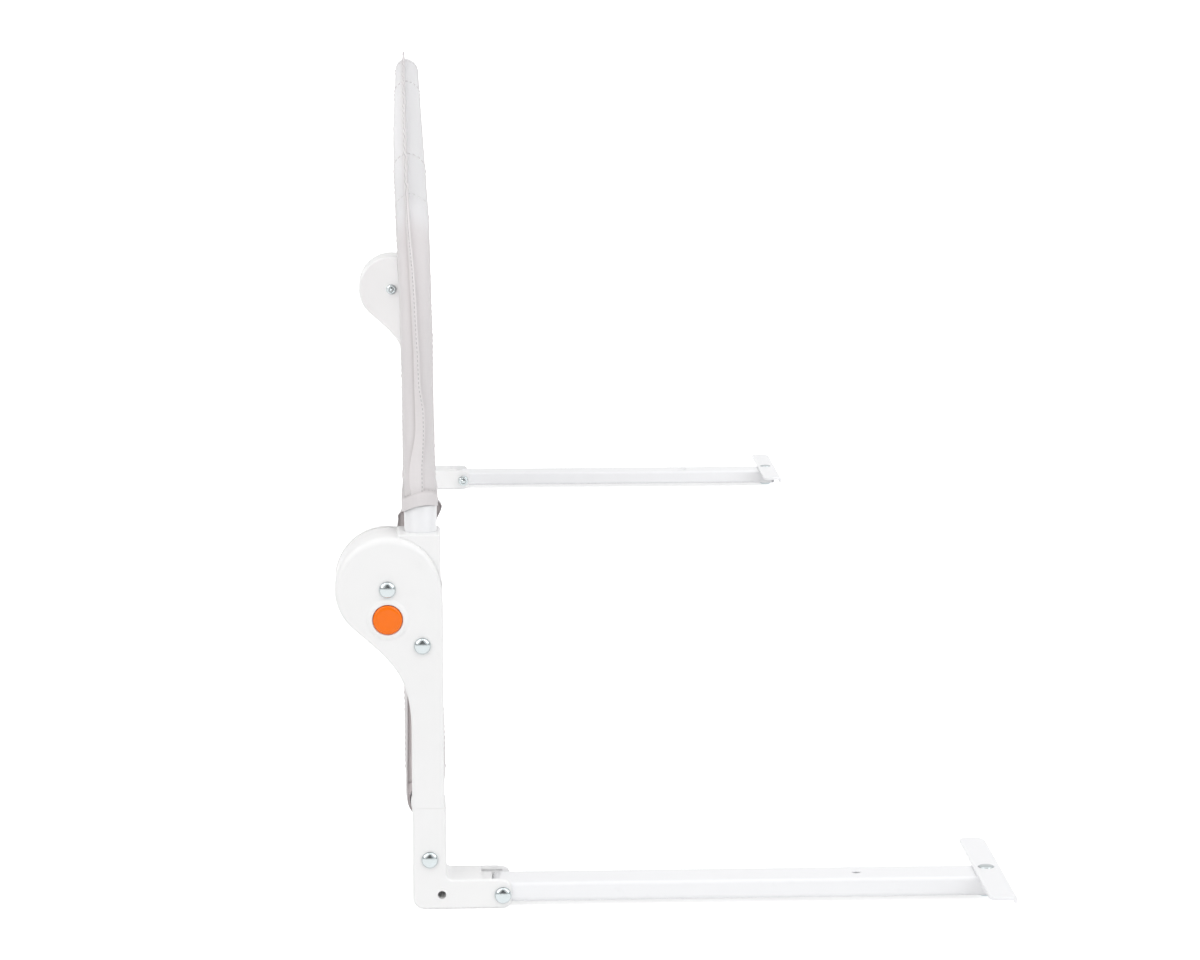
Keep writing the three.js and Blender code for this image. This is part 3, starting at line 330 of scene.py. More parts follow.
def zinc_plate(name, colour):
    """Bright zinc plate with turning marks, a faint blue cast and duller patches."""
    made = Finish(name)
    fine = made.noise(3200.0, 3.0, 0.6)
    patch = made.noise(420.0, 3.0, 0.6, seed=4.0)
    tone = made.mix(patch, opaque(colour, 0.92), opaque(tinted(colour, (1.06, 1.06, 1.08))))
    rough = fine * 0.1 + patch * 0.12 + 0.09
    normal = made.bump(fine, 0.00001, 0.35)
    return made.surface(Base_Color=tone, Metallic=1.0, Roughness=rough, Normal=normal)


def woven_cloth(name, colour, pitch):
    """Plain-woven polyester: crossing threads, uneven yarn and slow shading of the dye. The shade stored on
    the cloth is below 0 for painted light on the top run and above 0 for painted shade in its grooves."""
    made = Finish(name)
    made.place = made.node("ShaderNodeUVMap", {"uv_map": "cloth"})
    across, along, _ = made.parts()
    turn = math.pi / pitch
    warp = (across * turn).maths("SINE")
    weft = (along * turn).maths("SINE")
    over = (warp * weft).above(0.0, 0.35)
    ribs = warp.maths("ABSOLUTE") * over + weft.maths("ABSOLUTE") * (1.0 - over)
    yarn = made.noise(900.0, 3.0, 0.65, stretch=(1.0, 0.12, 1.0), seed=2.0)
    weft_yarn = made.noise(900.0, 3.0, 0.65, stretch=(0.12, 1.0, 1.0), seed=6.0)
    slow = made.noise(9.0, 3.0, 0.55, seed=8.0)
    crumple = made.noise(120.0, 4.0, 0.55, seed=12.0)
    dark, light = opaque(colour, 0.86), opaque(colour, 1.07)
    tone = made.mix((ribs * 0.45 + yarn * 0.35 + weft_yarn * 0.2).clamped(), dark, light)
    worn = opaque(tinted(colour, (1.0, 0.985, 0.99)), 0.95)
    tone = made.mix(slow.above(0.5, 0.25) * 0.35, tone, worn)
    groove = made.node("ShaderNodeAttribute", {"attribute_name": "shade"}, out="Fac")
    # Painted light: a stored shade below 0 turns the top run pale blue-white. Painted shade: above 0 darkens
    # seams, grooves and creases.
    painted_light_colour, painted_shade_colour = (0.86, 0.862, 0.878, 1.0), opaque(tinted(colour, (1.0, 0.95, 0.93)), 0.55)
    tone = made.mix((groove * -1.0).clamped(), tone, painted_light_colour)
    tone = made.mix(groove.clamped() * 0.5, tone, painted_shade_colour)
    rough = ribs * 0.1 + 0.78
    normal = made.bump(crumple, 0.0004, 0.35)
    normal = made.bump(ribs * 0.7 + yarn * 0.15 + weft_yarn * 0.15, 0.00012, 0.7, normal)
    return made.surface(
        Base_Color=tone, Roughness=rough, Normal=normal, Sheen_Weight=0.5, Sheen_Roughness=0.42,
        Specular_IOR_Level=0.25,
    )


def window_net(name, colour, pitch):
    """Knitted net: a staggered grid of open holes between rounded threads."""
    made = Finish(name)
    made.place = made.node("ShaderNodeUVMap", {"uv_map": "cloth"})
    across, along, _ = made.parts()
    turn = 2 * math.pi / pitch
    slant = along * (turn * 0.58)
    first = (across * turn + slant).maths("COSINE")
    second = (across * turn - slant).maths("COSINE")
    third = (along * (turn * 1.16)).maths("COSINE")
    web = (first + second + third) / 3.0
    thread = 1.0 - web.above(0.28, 0.05)
    twist = made.noise(1500.0, 3.0, 0.6, seed=3.0)
    tone = made.mix(twist, opaque(colour, 0.88), opaque(colour, 1.06))
    normal = made.bump(thread * 0.8 + twist * 0.2, 0.00015, 0.6)
    return made.surface(Base_Color=tone, Roughness=0.8, Normal=normal, Alpha=thread, Sheen_Weight=0.1)


def sewing_thread(name, colour):
    """Twisted sewing thread."""
    made = Finish(name)
    twist = made.noise(4200.0, 2.0, 0.5, stretch=(1.0, 1.0, 0.6))
    tone = made.mix(twist, opaque(colour, 0.85), opaque(colour, 1.1))
    normal = made.bump(twist, 0.00004, 0.6)
    return made.surface(Base_Color=tone, Roughness=0.75, Normal=normal, Sheen_Weight=0.2)


def finishes(context):
    """Makes the materials once, from the colours and sizes."""
    if "moulded_white" in bpy.data.materials:
        return
    colours, sizes = context.scene.guard_rail_colours, context.scene.guard_rail_sizes
    fabric, weave = colours.fabric, sizes.weave_pitch
    moulded_plastic("moulded_white", colours.plastic)
    moulded_plastic("plug_grey", (0.5, 0.51, 0.53), roughness=0.5)
    moulded_plastic("button_orange", colours.button, grain=0.3, roughness=0.2, shine=0.28)
    powder_coat("coated_steel", colours.steel)
    zinc_plate("zinc_plate", colours.zinc)
    woven_cloth("woven_cover", fabric, weave)
    # The edge seam's cloth is a little lighter than the cover: painted light on the seam that stands out of
    # the sleeve.
    woven_cloth("seam_cloth", tinted(fabric, (1.06, 1.06, 1.06)), weave)
    woven_cloth("binding_tape", tinted(fabric, (0.9, 0.9, 0.9)), weave * 1.6)
    # The lining is a little darker and warmer than the cover: painted shade inside the cover's ends.
    woven_cloth("lining_cloth", tinted(fabric, (0.97, 0.93, 0.92)), weave)
    window_net("window_net", tinted(fabric, (1.02, 1.02, 1.02)), sizes.net_pitch)
    sewing_thread("sewing_thread", colours.thread)
    # Darker thread for the edge seam and the hems: real stitching, darkened as painted shade for the shadow
    # under the seam's edge and in the hem's groove.
    sewing_thread("dark_thread", tinted(colours.thread, (0.72, 0.72, 0.72)))


# Meshes


def in_row(points, side=1):
    """[inboard, y, z] millimetres from the hinge axis as metres in the row's frame."""
    points = np.asarray(points, float)
    out = points * MM
    out[:, 0] = side * (HALF - points[:, 0]) * MM
    out[:, 1] += HINGE.y
    out[:, 2] += HINGE.z
    return out


def from_middle(points):
    """[x from the rail's middle, y, z] millimetres as metres in the row's frame."""
    return in_row(np.asarray(points, float) * (-1, 1, 1) + (HALF, 0, 0))


def lean(z):
    """The frame's shift towards the bed at a height. It is below 0, as the frame leans away from the bed."""
    return -LEAN * np.maximum(np.asarray(z, float) - LEAN_START, 0.0)


def in_scene(name, data):
    """An object of some data, linked to the scene."""
    made = bpy.data.objects.new(name, data)
    bpy.context.scene.collection.objects.link(made)
    return made


def modified_mesh(piece):
    """The mesh that an object's modifiers make."""
    evaluated = piece.evaluated_get(bpy.context.evaluated_depsgraph_get())
    return bpy.data.meshes.new_from_object(evaluated)


def new_piece(name, points, faces, outward=True):
    """A mesh object of points in metres, with its faces turned outwards."""
    mesh = bpy.data.meshes.new(name)
    mesh.from_pydata(np.asarray(points).tolist(), [], faces)
    if outward:
        turned = bmesh.new()
        turned.from_mesh(mesh)
        bmesh.ops.recalc_face_normals(turned, faces=turned.faces)
        turned.to_mesh(mesh)
        turned.free()
    return in_scene(name, mesh)


def loft(rings, closed=False):
    """Points and faces of closed rings joined in a row, with caps unless the row is closed."""
    count, rows = len(rings[0]), len(rings)
    faces = []
    for row in range(rows if closed else rows - 1):
        low, high = row * count, ((row + 1) % rows) * count
        faces += [(low + i, low + (i + 1) % count, high + (i + 1) % count, high + i) for i in range(count)]
    if not closed:
        faces += [tuple(range(count))[::-1], tuple(range((rows - 1) * count, rows * count))]
    return np.vstack(rings), faces


def arc(y, z, radius, start, end, steps):
    """Points round a centre, between two angles in degrees."""
    angles = np.radians(np.linspace(start, end, steps + 1))
    return np.column_stack([y + radius * np.cos(angles), z + radius * np.sin(angles)])


def bezier(points, steps):
    """A curve of any order from its first control point to its last."""
    share = np.linspace(0, 1, steps + 1)[:, None]
    layer = [np.asarray(point, float) * np.ones_like(share) for point in points]
    while len(layer) > 1:
        layer = [start * (1 - share) + end * share for start, end in zip(layer, layer[1:])]
    return layer[0]


def straight(start, end, steps):
    """Points along a straight run, with both ends."""
    return np.linspace(start, end, steps + 1)


def chained(*runs):
    """Runs of outline points as one closed outline without repeats."""
    points = np.vstack(runs)
    gap = np.linalg.norm(points - np.roll(points, 1, 0), axis=1)
    return points[gap > 1e-4]


def rounded_box(left, right, low, high, corner, steps=6):
    """An anticlockwise rectangle with rounded corners."""
    return chained(
        arc(right - corner, low + corner, corner, -90, 0, steps),
        arc(right - corner, high - corner, corner, 0, 90, steps),
        arc(left + corner, high - corner, corner, 90, 180, steps),
        arc(left + corner, low + corner, corner, 180, 270, steps),
    )


def inset(outline, distance):
    """An anticlockwise outline moved inwards, by one distance or one for each point."""
    before = outline - np.roll(outline, 1, 0)
    after = np.roll(outline, -1, 0) - outline
    first = np.column_stack([before[:, 1], -before[:, 0]]) / np.linalg.norm(before, axis=1)[:, None]
    second = np.column_stack([after[:, 1], -after[:, 0]]) / np.linalg.norm(after, axis=1)[:, None]
    mitre = (first + second) / (1 + (first * second).sum(1))[:, None]
    return outline - mitre * np.broadcast_to(distance, len(outline))[:, None]


def moulding(outline, near, far, near_edge, far_edge, steps=6):
    """Rings of an outline between two depths, with rounded edges of varying size."""
    rings = []
    for depth, sign, edge in ((near, 1, near_edge), (far, -1, far_edge)):
        edge = np.broadcast_to(edge, len(outline)).astype(float)
        part = []
        for turn in np.linspace(0, math.pi / 2, steps + 1):
            flat = inset(outline, edge * (1 - math.sin(turn)))
            level = depth + sign * edge * (1 - math.cos(turn))
            part.append(np.column_stack([level, flat]))
        rings += part if sign == 1 else part[::-1]
    return rings


def side_piece(name, outline, near, far, near_edge=0.3, far_edge=0.3, side=1, steps=6):
    """A side outline (y, z) moulded between two inboard distances."""
    points, faces = loft(moulding(outline, near, far, near_edge, far_edge, steps))
    return new_piece(name, in_row(points, side), faces)


def block(name, inboard, y, z, side=1):
    """A box between two inboard distances, two y and two z."""
    outline = np.array([[y[0], z[0]], [y[1], z[0]], [y[1], z[1]], [y[0], z[1]]], float)
    points, faces = loft([np.column_stack([np.full(4, float(a)), outline]) for a in inboard])
    return new_piece(name, in_row(points, side), faces)


def lathe(name, profile, y, z, side=1, steps=48, upright=False):
    """A profile of [radius, inboard] pairs, from axis to axis, turned about an axis along the rail.
    Upright, the pairs are [radius, z] and y and z are the axis's y and inboard distance."""
    turns = np.arange(steps) * 2 * math.pi / steps
    points, faces, rows = [], [], []
    for radius, level in profile:
        start = len(points)
        if radius < 1e-6:
            points.append((level, y, z) if not upright else (z, y, level))
            rows.append([start] * steps)
            continue
        for turn in turns:
            u, v = radius * math.cos(turn), radius * math.sin(turn)
            points.append((level, y + u, z + v) if not upright else (z + u, y + v, level))
        rows.append(list(range(start, start + steps)))
    for low, high in zip(rows, rows[1:]):
        for i in range(steps):
            j = (i + 1) % steps
            face = list(dict.fromkeys((low[i], low[j], high[j], high[i])))
            if len(face) > 2:
                faces.append(face)
    return new_piece(name, in_row(points, side), faces)


def solid_profile(radius, start, end):
    """The profile of a plain round bar."""
    return [(0, start), (radius, start), (radius, end), (0, end)]


def bar(name, radius, inboard, y, z, side=1, steps=32):
    """A round bar along the rail, which also serves as a drill."""
    return lathe(name, solid_profile(radius, *inboard), y, z, side, steps)


def upright_bar(name, radius, heights, y, inboard, side, steps=32):
    """A round bar that stands upright between two heights."""
    return lathe(name, solid_profile(radius, *heights), y, inboard, side, steps, upright=True)


def shaped(target, *tools):
    """Joins or cuts a piece with others, each given as (operation, tool), and removes the tools."""
    for operation, tool in tools:
        step = target.modifiers.new("shape", "BOOLEAN")
        step.operation, step.solver, step.object = operation, "MANIFOLD", tool
    mesh = modified_mesh(target)
    target.modifiers.clear()
    target.data = mesh
    for _, tool in tools:
        bpy.data.objects.remove(tool)
    if not len(mesh.polygons):
        raise RuntimeError(f"{target.name} came out empty")
    return target


def cut(target, *tools):
    """Cuts tools out of a piece and removes them."""
    return shaped(target, *[("DIFFERENCE", tool) for tool in tools])


def soft_shaded(piece, angle=32, weighted=True):
    """Smooth faces with sharp edges above an angle, and flat faces kept flat."""
    mesh = bmesh.new()
    mesh.from_mesh(piece.data)
    limit = math.radians(angle)
    for face in mesh.faces:
        face.smooth = True
    for edge in mesh.edges:
        edge.smooth = edge.is_manifold and edge.calc_face_angle(0.0) < limit
    mesh.to_mesh(piece.data)
    mesh.free()
    if weighted:
        step = piece.modifiers.new("weighted", "WEIGHTED_NORMAL")
        step.keep_sharp = True
    return piece


def dressed(piece, material, body, slot, *nodes):
    """Gives a piece its finish, parents it to a named body or else bakes its placement, and hides the CAD
    nodes that it stands for.
    """
    piece.data.materials.clear()
    piece.data.materials.append(bpy.data.materials[material])
    if isinstance(body, str):
        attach(piece, body)
    else:
        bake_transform(piece)
    if nodes:
        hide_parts(*nodes)
    return piece


def polished(name, node, material, body, slot):
    """A CAD node's copy with its points joined and its round faces shaded smooth."""
    mesh = frame["nodes"][node].data.copy()
    mesh.name = name
    made = in_scene(name, mesh)
    joined = bmesh.new()
    joined.from_mesh(mesh)
    bmesh.ops.remove_doubles(joined, verts=joined.verts, dist=1e-6)
    joined.to_mesh(mesh)
    joined.free()
    soft_shaded(made)
    return dressed(made, material, body, slot, node)


# Geometry node trees

BEND_STEPS = 20
STITCH_SHARE = 0.72


def node_tree(name, inputs):
    """A tree with a geometry input, named inputs and a geometry output."""
    tree = bpy.data.node_groups.new(name, "GeometryNodeTree")
    tree.interface.new_socket("Geometry", in_out="INPUT", socket_type="NodeSocketGeometry")
    for label, kind in inputs:
        tree.interface.new_socket(label, in_out="INPUT", socket_type=kind)
    tree.interface.new_socket("Geometry", in_out="OUTPUT", socket_type="NodeSocketGeometry")
    return tree, tree.nodes.new("NodeGroupInput"), tree.nodes.new("NodeGroupOutput")


def added(tree, kind, sockets, **settings):
    """A new node with its settings, and its inputs set from values or from other nodes' outputs."""
    node = tree.nodes.new(kind)
    for key, value in settings.items():
        setattr(node, key, value)
    for key, value in sockets.items():
        if isinstance(value, bpy.types.NodeSocket):
            tree.links.new(value, node.inputs[key])
        else:
            node.inputs[key].default_value = value
    return node


def realised(tree, geometry, material, output):
    """Ends a tree in real faces with a material."""
    real = added(tree, "GeometryNodeRealizeInstances", {0: geometry})
    painted = added(tree, "GeometryNodeSetMaterial", {0: real.outputs[0], "Material": material})
    tree.links.new(painted.outputs[0], output.inputs[0])


def tube_tree():
    """Sweeps a hollow tube along the curve that it is given, with rounded corners."""
    tree, given, output = node_tree(
        "tube_sweep",
        [("Radius", "NodeSocketFloat"), ("Wall", "NodeSocketFloat"), ("Bend", "NodeSocketFloat"),
         ("Steps", "NodeSocketInt"), ("Material", "NodeSocketMaterial")],
    )
    values = given.outputs
    corners = {"Curve": values[0], "Count": BEND_STEPS, "Radius": values["Bend"]}
    bent = added(tree, "GeometryNodeFilletCurve", corners, mode="POLY")
    inner = added(tree, "ShaderNodeMath", {0: values["Radius"], 1: values["Wall"]}, operation="SUBTRACT")
    shells = []
    for radius in (values["Radius"], inner.outputs[0]):
        ring = added(
            tree, "GeometryNodeCurvePrimitiveCircle", {"Resolution": values["Steps"], "Radius": radius}
        )
        profile = {"Curve": bent.outputs[0], "Profile Curve": ring.outputs[0]}
        shells.append(added(tree, "GeometryNodeCurveToMesh", profile))
    turned = added(tree, "GeometryNodeFlipFaces", {0: shells[1].outputs[0]})
    both = added(tree, "GeometryNodeJoinGeometry", {0: turned.outputs[0]})
    tree.links.new(shells[0].outputs[0], both.inputs[0])
    smooth = added(tree, "GeometryNodeSetShadeSmooth", {0: both.outputs[0]})
    realised(tree, smooth.outputs[0], values["Material"], output)
    return tree


def scatter_tree():
    """Sets one small piece at every point, turned by the point's stored rotation."""
    tree, given, output = node_tree(
        "fasteners", [("Piece", "NodeSocketObject"), ("Material", "NodeSocketMaterial")]
    )
    piece = added(tree, "GeometryNodeObjectInfo", {"Object": given.outputs["Piece"]})
    stored = added(tree, "GeometryNodeInputNamedAttribute", {"Name": "facing"}, data_type="FLOAT_VECTOR")
    copies = {"Points": given.outputs[0], "Instance": piece.outputs["Geometry"],
              "Rotation": stored.outputs[0]}
    placed = added(tree, "GeometryNodeInstanceOnPoints", copies)
    realised(tree, placed.outputs[0], given.outputs["Material"], output)
    return tree


def stitch_tree():
    """Lays short rounded stitches along a curve, end to end with gaps."""
    tree, given, output = node_tree(
        "top_stitching",
        [("Pitch", "NodeSocketFloat"), ("Thread", "NodeSocketFloat"), ("Material", "NodeSocketMaterial")],
    )
    values = given.outputs
    spaced = added(
        tree, "GeometryNodeCurveToPoints", {"Curve": values[0], "Length": values["Pitch"]}, mode="LENGTH"
    )
    stitch = added(tree, "GeometryNodeMeshIcoSphere", {"Radius": values["Thread"], "Subdivisions": 1})
    longer = added(tree, "ShaderNodeMath", {0: values["Pitch"], 1: values["Thread"]}, operation="DIVIDE")
    share = added(tree, "ShaderNodeMath", {0: longer.outputs[0], 1: STITCH_SHARE / 2}, operation="MULTIPLY")
    size = added(tree, "ShaderNodeCombineXYZ", {"X": 1.0, "Y": 1.0, "Z": share.outputs[0]})
    copies = {"Points": spaced.outputs["Points"], "Instance": stitch.outputs[0],
              "Rotation": spaced.outputs["Rotation"], "Scale": size.outputs[0]}
    placed = added(tree, "GeometryNodeInstanceOnPoints", copies)
    realised(tree, placed.outputs[0], values["Material"], output)
    return tree


def grown(name, base, tree, values):
    """A plain mesh of what a tree makes of a base object, which is then removed."""
    step = base.modifiers.new("nodes", "NODES")
    step.node_group = tree
    names = {item.name: item.identifier for item in tree.interface.items_tree if item.in_out == "INPUT"}
    for label, value in values.items():
        step[names[label]] = value
    base.update_tag()
    bpy.context.view_layer.update()
    mesh = modified_mesh(base)
    mesh.name = name
    made = in_scene(name, mesh)
    base.modifiers.clear()
    bpy.data.objects.remove(base)
    if not len(mesh.polygons):
        raise RuntimeError(f"{name} came out empty")
    return made


def tree_called(name, maker):
    """A node tree, made on its first use."""
    return bpy.data.node_groups.get(name) or maker()


def poly_curves(name, runs):
    """A curve object of straight-sided runs of points in metres."""
    data = bpy.data.curves.new(name, "CURVE")
    data.dimensions = "3D"
    for run in runs:
        spline = data.splines.new("POLY")
        spline.points.add(len(run) - 1)
        for point, place in zip(spline.points, run):
            point.co = (*place, 1.0)
    return in_scene(name, data)


# Hubs


def leg_outline(radius):
    """The disc about the hinge, its shoulder and the S curve down into the straight arm."""
    shoulder, neck, neck_lead = 6.5, 228.0, 28.0
    square, bend, arm = -12.0, -50.0, -85.0
    end = math.radians(neck)
    start = np.array([math.cos(end), math.sin(end)]) * radius
    lead = np.array([-math.sin(end), math.cos(end)]) * neck_lead
    top = np.array([math.cos(math.radians(shoulder)), math.sin(math.radians(shoulder))]) * radius
    return chained(
        straight((ARM_RIGHT, ARM_LAP), (ARM_RIGHT, square), 24),
        bezier([(ARM_RIGHT, square), (ARM_RIGHT, 0.0), top], 8),
        arc(0, 0, radius, shoulder, neck, 96),
        bezier([start, start + lead, (ARM_LEFT, bend), (ARM_LEFT, arm)], 40),
        straight((ARM_LEFT, arm), (ARM_LEFT, ARM_LAP), 16),
    )


def hub_rounding(outline, largest, hub_radius):
    """The rounding at each outline point: widest over the top of the disc, slight down the arm."""
    plain, smoothing, disc_end = 1.5, 9, 228
    angle = np.degrees(np.arctan2(outline[:, 1], outline[:, 0])) % 360
    radius = np.hypot(outline[:, 0], outline[:, 1])
    on_disc = (radius < hub_radius + 0.5) & ((angle < disc_end + 1) | (angle > 359))
    disc = np.interp(
        angle, [0, 8, 32, 75, 125, 175, 205, disc_end], [plain, 1.6, 3.6, largest, largest, 3.5, 2.2, plain]
    )
    down_arm = np.interp(-outline[:, 1], [20, 60, 90, 130], [plain, 1.3, 1.9, 2.0])
    arm = np.where(outline[:, 0] < 25, down_arm, plain)
    rounding = np.where(on_disc, disc, arm)
    window = np.hanning(smoothing)[1:-1]
    lap = len(window) // 2
    padded = np.concatenate([rounding[-lap:], rounding, rounding[:lap]])
    return np.convolve(padded, window / window.sum(), "valid")


def drum_space(side, near, far):
    """What the drum and its socket sweep through between the hub's two plates."""
    cradle = bar("cradle", CRADLE, (near, far), 0, 0, side, 96)
    fold = block("fold", (near, far), (-SWEEP, -5.1), (-62, SWEEP), side)
    rise = block("rise", (near, far), (-9.1, SWEEP), (0, SWEEP), side)
    return [cradle, fold, rise]


def outer_shell(name, side, outline, rounding):
    """The outer half of hub and arm, with a raised rim round the button's well."""
    shell = side_piece(f"{name}_hub_cover", outline, 0, PARTING - MIDDLE_GAP, rounding, 0.35, side, 10)
    rim = [(0, -1.0), (8.9, -1.0), (9.3, -1.15), (10.4, -1.1), (11.3, -0.75), (12.0, -0.3),
           (12.8, 0.0), (13.4, 1.0), (0, 1.0)]
    well = [(0, -5), (9.2, -5), (9.2, -0.9), (8.85, -0.5), (8.85, 3.7), (0, 3.7)]
    shaped(shell, ("UNION", lathe("rim", rim, 0, BUTTON_Z, side, 72)))
    cut(
        shell,
        block("end", (-5, 45), (0, 40), (ARM_LAP - 5, ARM_END), side),
        *drum_space(side, 5.0, 30),
        block("pocket", (2.7, 30), POCKET, (ARM_END - 5, -36), side),
        lathe("well", well, 0, BUTTON_Z, side, 64),
        bar("bolt", BOLT_HOLE, (-5, 30), 0, 0, side),
        bar("screw", SCREW_HOLE, (-5, 30), *HUB_SCREW, side),
    )
    soft_shaded(shell, 28)
    dressed(shell, "moulded_white", "legs", "white_plastic", f"{name}_hub_outer_shell")


def inner_shell(name, side, outline):
    """The inner half of hub and arm, which steps back from the hub's depth to the arm's."""
    back = side_piece(f"{name}_hub_back", outline, PARTING + MIDDLE_GAP, HUB_DEPTH, 0.35, 2.0, side, 8)
    beyond, step_top, step_low = 60.0, -62.0, -75.0
    step = [(ARM_DEPTH, step_low), (HUB_DEPTH, step_top), (beyond, step_top), (beyond, ARM_LAP - 10),
            (ARM_DEPTH, ARM_LAP - 10)]
    points, faces = loft([[(inboard, y, z) for inboard, z in step] for y in (-beyond, beyond)])
    cut(
        back,
        new_piece("step", in_row(points, side), faces),
        block("end", (-5, beyond), (0, 40), (ARM_LAP - 5, ARM_END), side),
        *drum_space(side, 15, 37.0),
        block("pocket", (15, 31.3), POCKET, (ARM_END - 5, -36), side),
        bar("bolt", BOLT_HOLE, (15, beyond), 0, 0, side),
        bar("screw", SCREW_HOLE, (15, beyond), *HUB_SCREW, side),
    )
    soft_shaded(back, 28)
    dressed(back, "moulded_white", "legs", "white_plastic", f"{name}_hub_inner_shell")


def swivel(name, side):
    """The drum between the shells, the channel that the lock rides in and the frame's tube socket."""
    left, right, top = SOCKET
    near, far, radius = DRUM
    outline = rounded_box(left, right, -2, top, 2.0, 8)
    socket = side_piece(f"{name}_swivel", outline, near, far, 1.0, 1.0, side)
    drum = side_piece("drum", arc(0, 0, radius, 0, 360, 120)[:-1], near, far, 0.8, 0.8, side)
    cut(socket, block("below", (0, 45), (28.6, 36), (-32, 0), side))
    shaped(socket, ("UNION", drum))
    half = 7.5
    channel = chained(
        arc(0, 0, half - BUTTON_Z, 90, 270, 40), arc(0, BUTTON_Z, half, 270, 450, 16),
        arc(0, 0, -half - BUTTON_Z, 270, 90, 30), arc(0, -BUTTON_Z, half, 270, 450, 16),
    )
    cut(
        socket,
        upright_bar("bore", 9.8, (1.7, 40), TUBE_Y, PARTING, side, 48),
        side_piece("channel", channel, 0, 19.1, SHARP, SHARP, side, 1),
        bar("bolt", BOLT_HOLE, (0, 45), 0, 0, side),
        bar("screw", 1.8, (PARTING, 45), TUBE_Y, TUBE_SCREW_Z, side, 24),
        bar("sink", 3.5, (34.3, 45), TUBE_Y, TUBE_SCREW_Z, side, 32),
    )
    soft_shaded(socket, 28)
    dressed(socket, "moulded_white", "rail", "white_plastic", f"{name}_swivel_hub")


class RAIL_OT_hub_shells(bpy.types.Operator):
    """Builds both halves of each hub and arm, and the swivelling drum with its tube socket"""

    bl_idname = "guard_rail.hub_shells"
    bl_label = "Hub shells"

    def execute(self, context):
        finishes(context)
        sizes = context.scene.guard_rail_sizes
        radius = sizes.hub_radius / MM
        outline = leg_outline(radius)
        rounding = hub_rounding(outline, sizes.hub_fillet / MM, radius)
        for name, side in SIDES:
            outer_shell(name, side, outline, rounding)
            inner_shell(name, side, outline)
            swivel(name, side)
        return {"FINISHED"}


def button_profile():
    """Half the button's section: a slightly dished face, a rounded rim and the stem behind it."""
    flat, rim, stand = 5.6, 2.7, 2.2
    face = [(r, -stand - 0.2 * (r / flat) ** 2) for r in np.linspace(0, flat, 6)]
    turns = np.linspace(0.05, math.pi / 2, 13)
    edge = [(5.9 + rim * math.sin(turn), -1.0 - 1.4 * math.cos(turn)) for turn in turns]
    return [*face, *edge, (8.6, 0.4), (8.2, 0.45), (4.2, 0.45), (4.2, 5.0), (0, 5.0)]


class RAIL_OT_buttons(bpy.types.Operator):
    """Builds the orange push buttons"""

    bl_idname = "guard_rail.buttons"
    bl_label = "Push buttons"

    def execute(self, context):
        finishes(context)
        for name, side in SIDES:
            made = lathe(f"{name}_push_button", button_profile(), 0, BUTTON_Z, side, 72)
            soft_shaded(made, 35)
            dressed(made, "button_orange", f"{name}_button", "orange_plastic", f"{name}_lock_button")
        return {"FINISHED"}


# Elbows and supports


def elbow_outline():
    """The foot's side outline: heel, sole, rounded toe, shelf and the inner corner up to the arm."""
    heel, inner, inside = 6.5, 3.5, ARM_RIGHT + 1.0
    return chained(
        straight((inside, ELBOW_TOP + 2), (ARM_LEFT, ELBOW_TOP + 2), 1),
        straight((ARM_LEFT, ELBOW_TOP), (ARM_LEFT, GROUND + 9), 8),
        arc(ARM_LEFT + heel, GROUND + heel, heel, 180, 270, 14),
        straight((26, GROUND), (ELBOW_REACH - 6, GROUND), 8),
        arc(ELBOW_REACH - 5, GROUND + 5, 5, -90, 0, 12),
        arc(ELBOW_REACH - 5.5, SHELF - 5.5, 5.5, 0, 62, 10),
        straight((ELBOW_REACH - 8, SHELF), (40, SHELF), 6),
        arc(inside + inner, SHELF + inner, inner, 270, 180, 10),
        straight((inside, SHELF + 6), (inside, ELBOW_TOP), 6),
    )


class RAIL_OT_elbows(bpy.types.Operator):
    """Builds the moulded feet with their clevis slots and crossbar ears"""

    bl_idname = "guard_rail.elbows"
    bl_label = "Elbows"

    def execute(self, context):
        finishes(context)
        outline = elbow_outline()
        hole_rim = [(0, -0.35), (3.2, -0.35), (4.0, -0.25), (4.5, 0.0), (4.9, 1.0), (0, 1.0)]
        slot, through, above = (2, 32), (-4, 38), SHELF + 4
        arm_box = rounded_box(15.5, 28.5, CROSSBAR[1] - 14, ELBOW_TOP - 1.2, 1.5)
        for name, side in SIDES:
            foot = side_piece(f"{name}_foot", outline, 0, ARM_DEPTH, 1.7, 1.5, side, 8)
            ring = lathe("ring", hole_rim, *CORNER_HOLE, side, 48)
            arm = side_piece("arm", arm_box, 32.8, 42, 0.8, 0.8, side)
            ear = side_piece("ear", arc(*CROSSBAR, 9.2, 0, 360, 64)[:-1], 34.3, 42, 1.0, 1.0, side)
            spigot = bar("spigot", 8.2, (41.7, 72), *CROSSBAR, side, 40)
            cut(foot, block("top", (-2, 40), (0, ELBOW_REACH), (ELBOW_TOP, ELBOW_TOP + 4), side))
            shaped(foot, ("UNION", arm), ("UNION", ear), ("UNION", spigot), ("UNION", ring))
            cut(
                foot,
                block("pocket", (2.7, 31.3), POCKET, (ELBOW_TOP - 42, ELBOW_TOP + 4), side),
                block("slot", slot, (60.8, 78), (GROUND + 2.6, above), side),
                block("slot_end", slot, (54.4, 61.5), (GROUND + 14.2, above), side),
                block("undercut", (31, 33.3), (54.8, 67.2), (GROUND + 14.0, GROUND + 15.4), side),
                bar("pivot", BOLT_HOLE, through, *SUPPORT, side),
                bar("screw", SCREW_HOLE, through, *ELBOW_SCREW, side),
                bar("hole", 2.5, through, *CORNER_HOLE, side),
            )
            soft_shaded(foot, 30)
            dressed(foot, "moulded_white", "legs", "white_plastic", f"{name}_elbow")
        return {"FINISHED"}


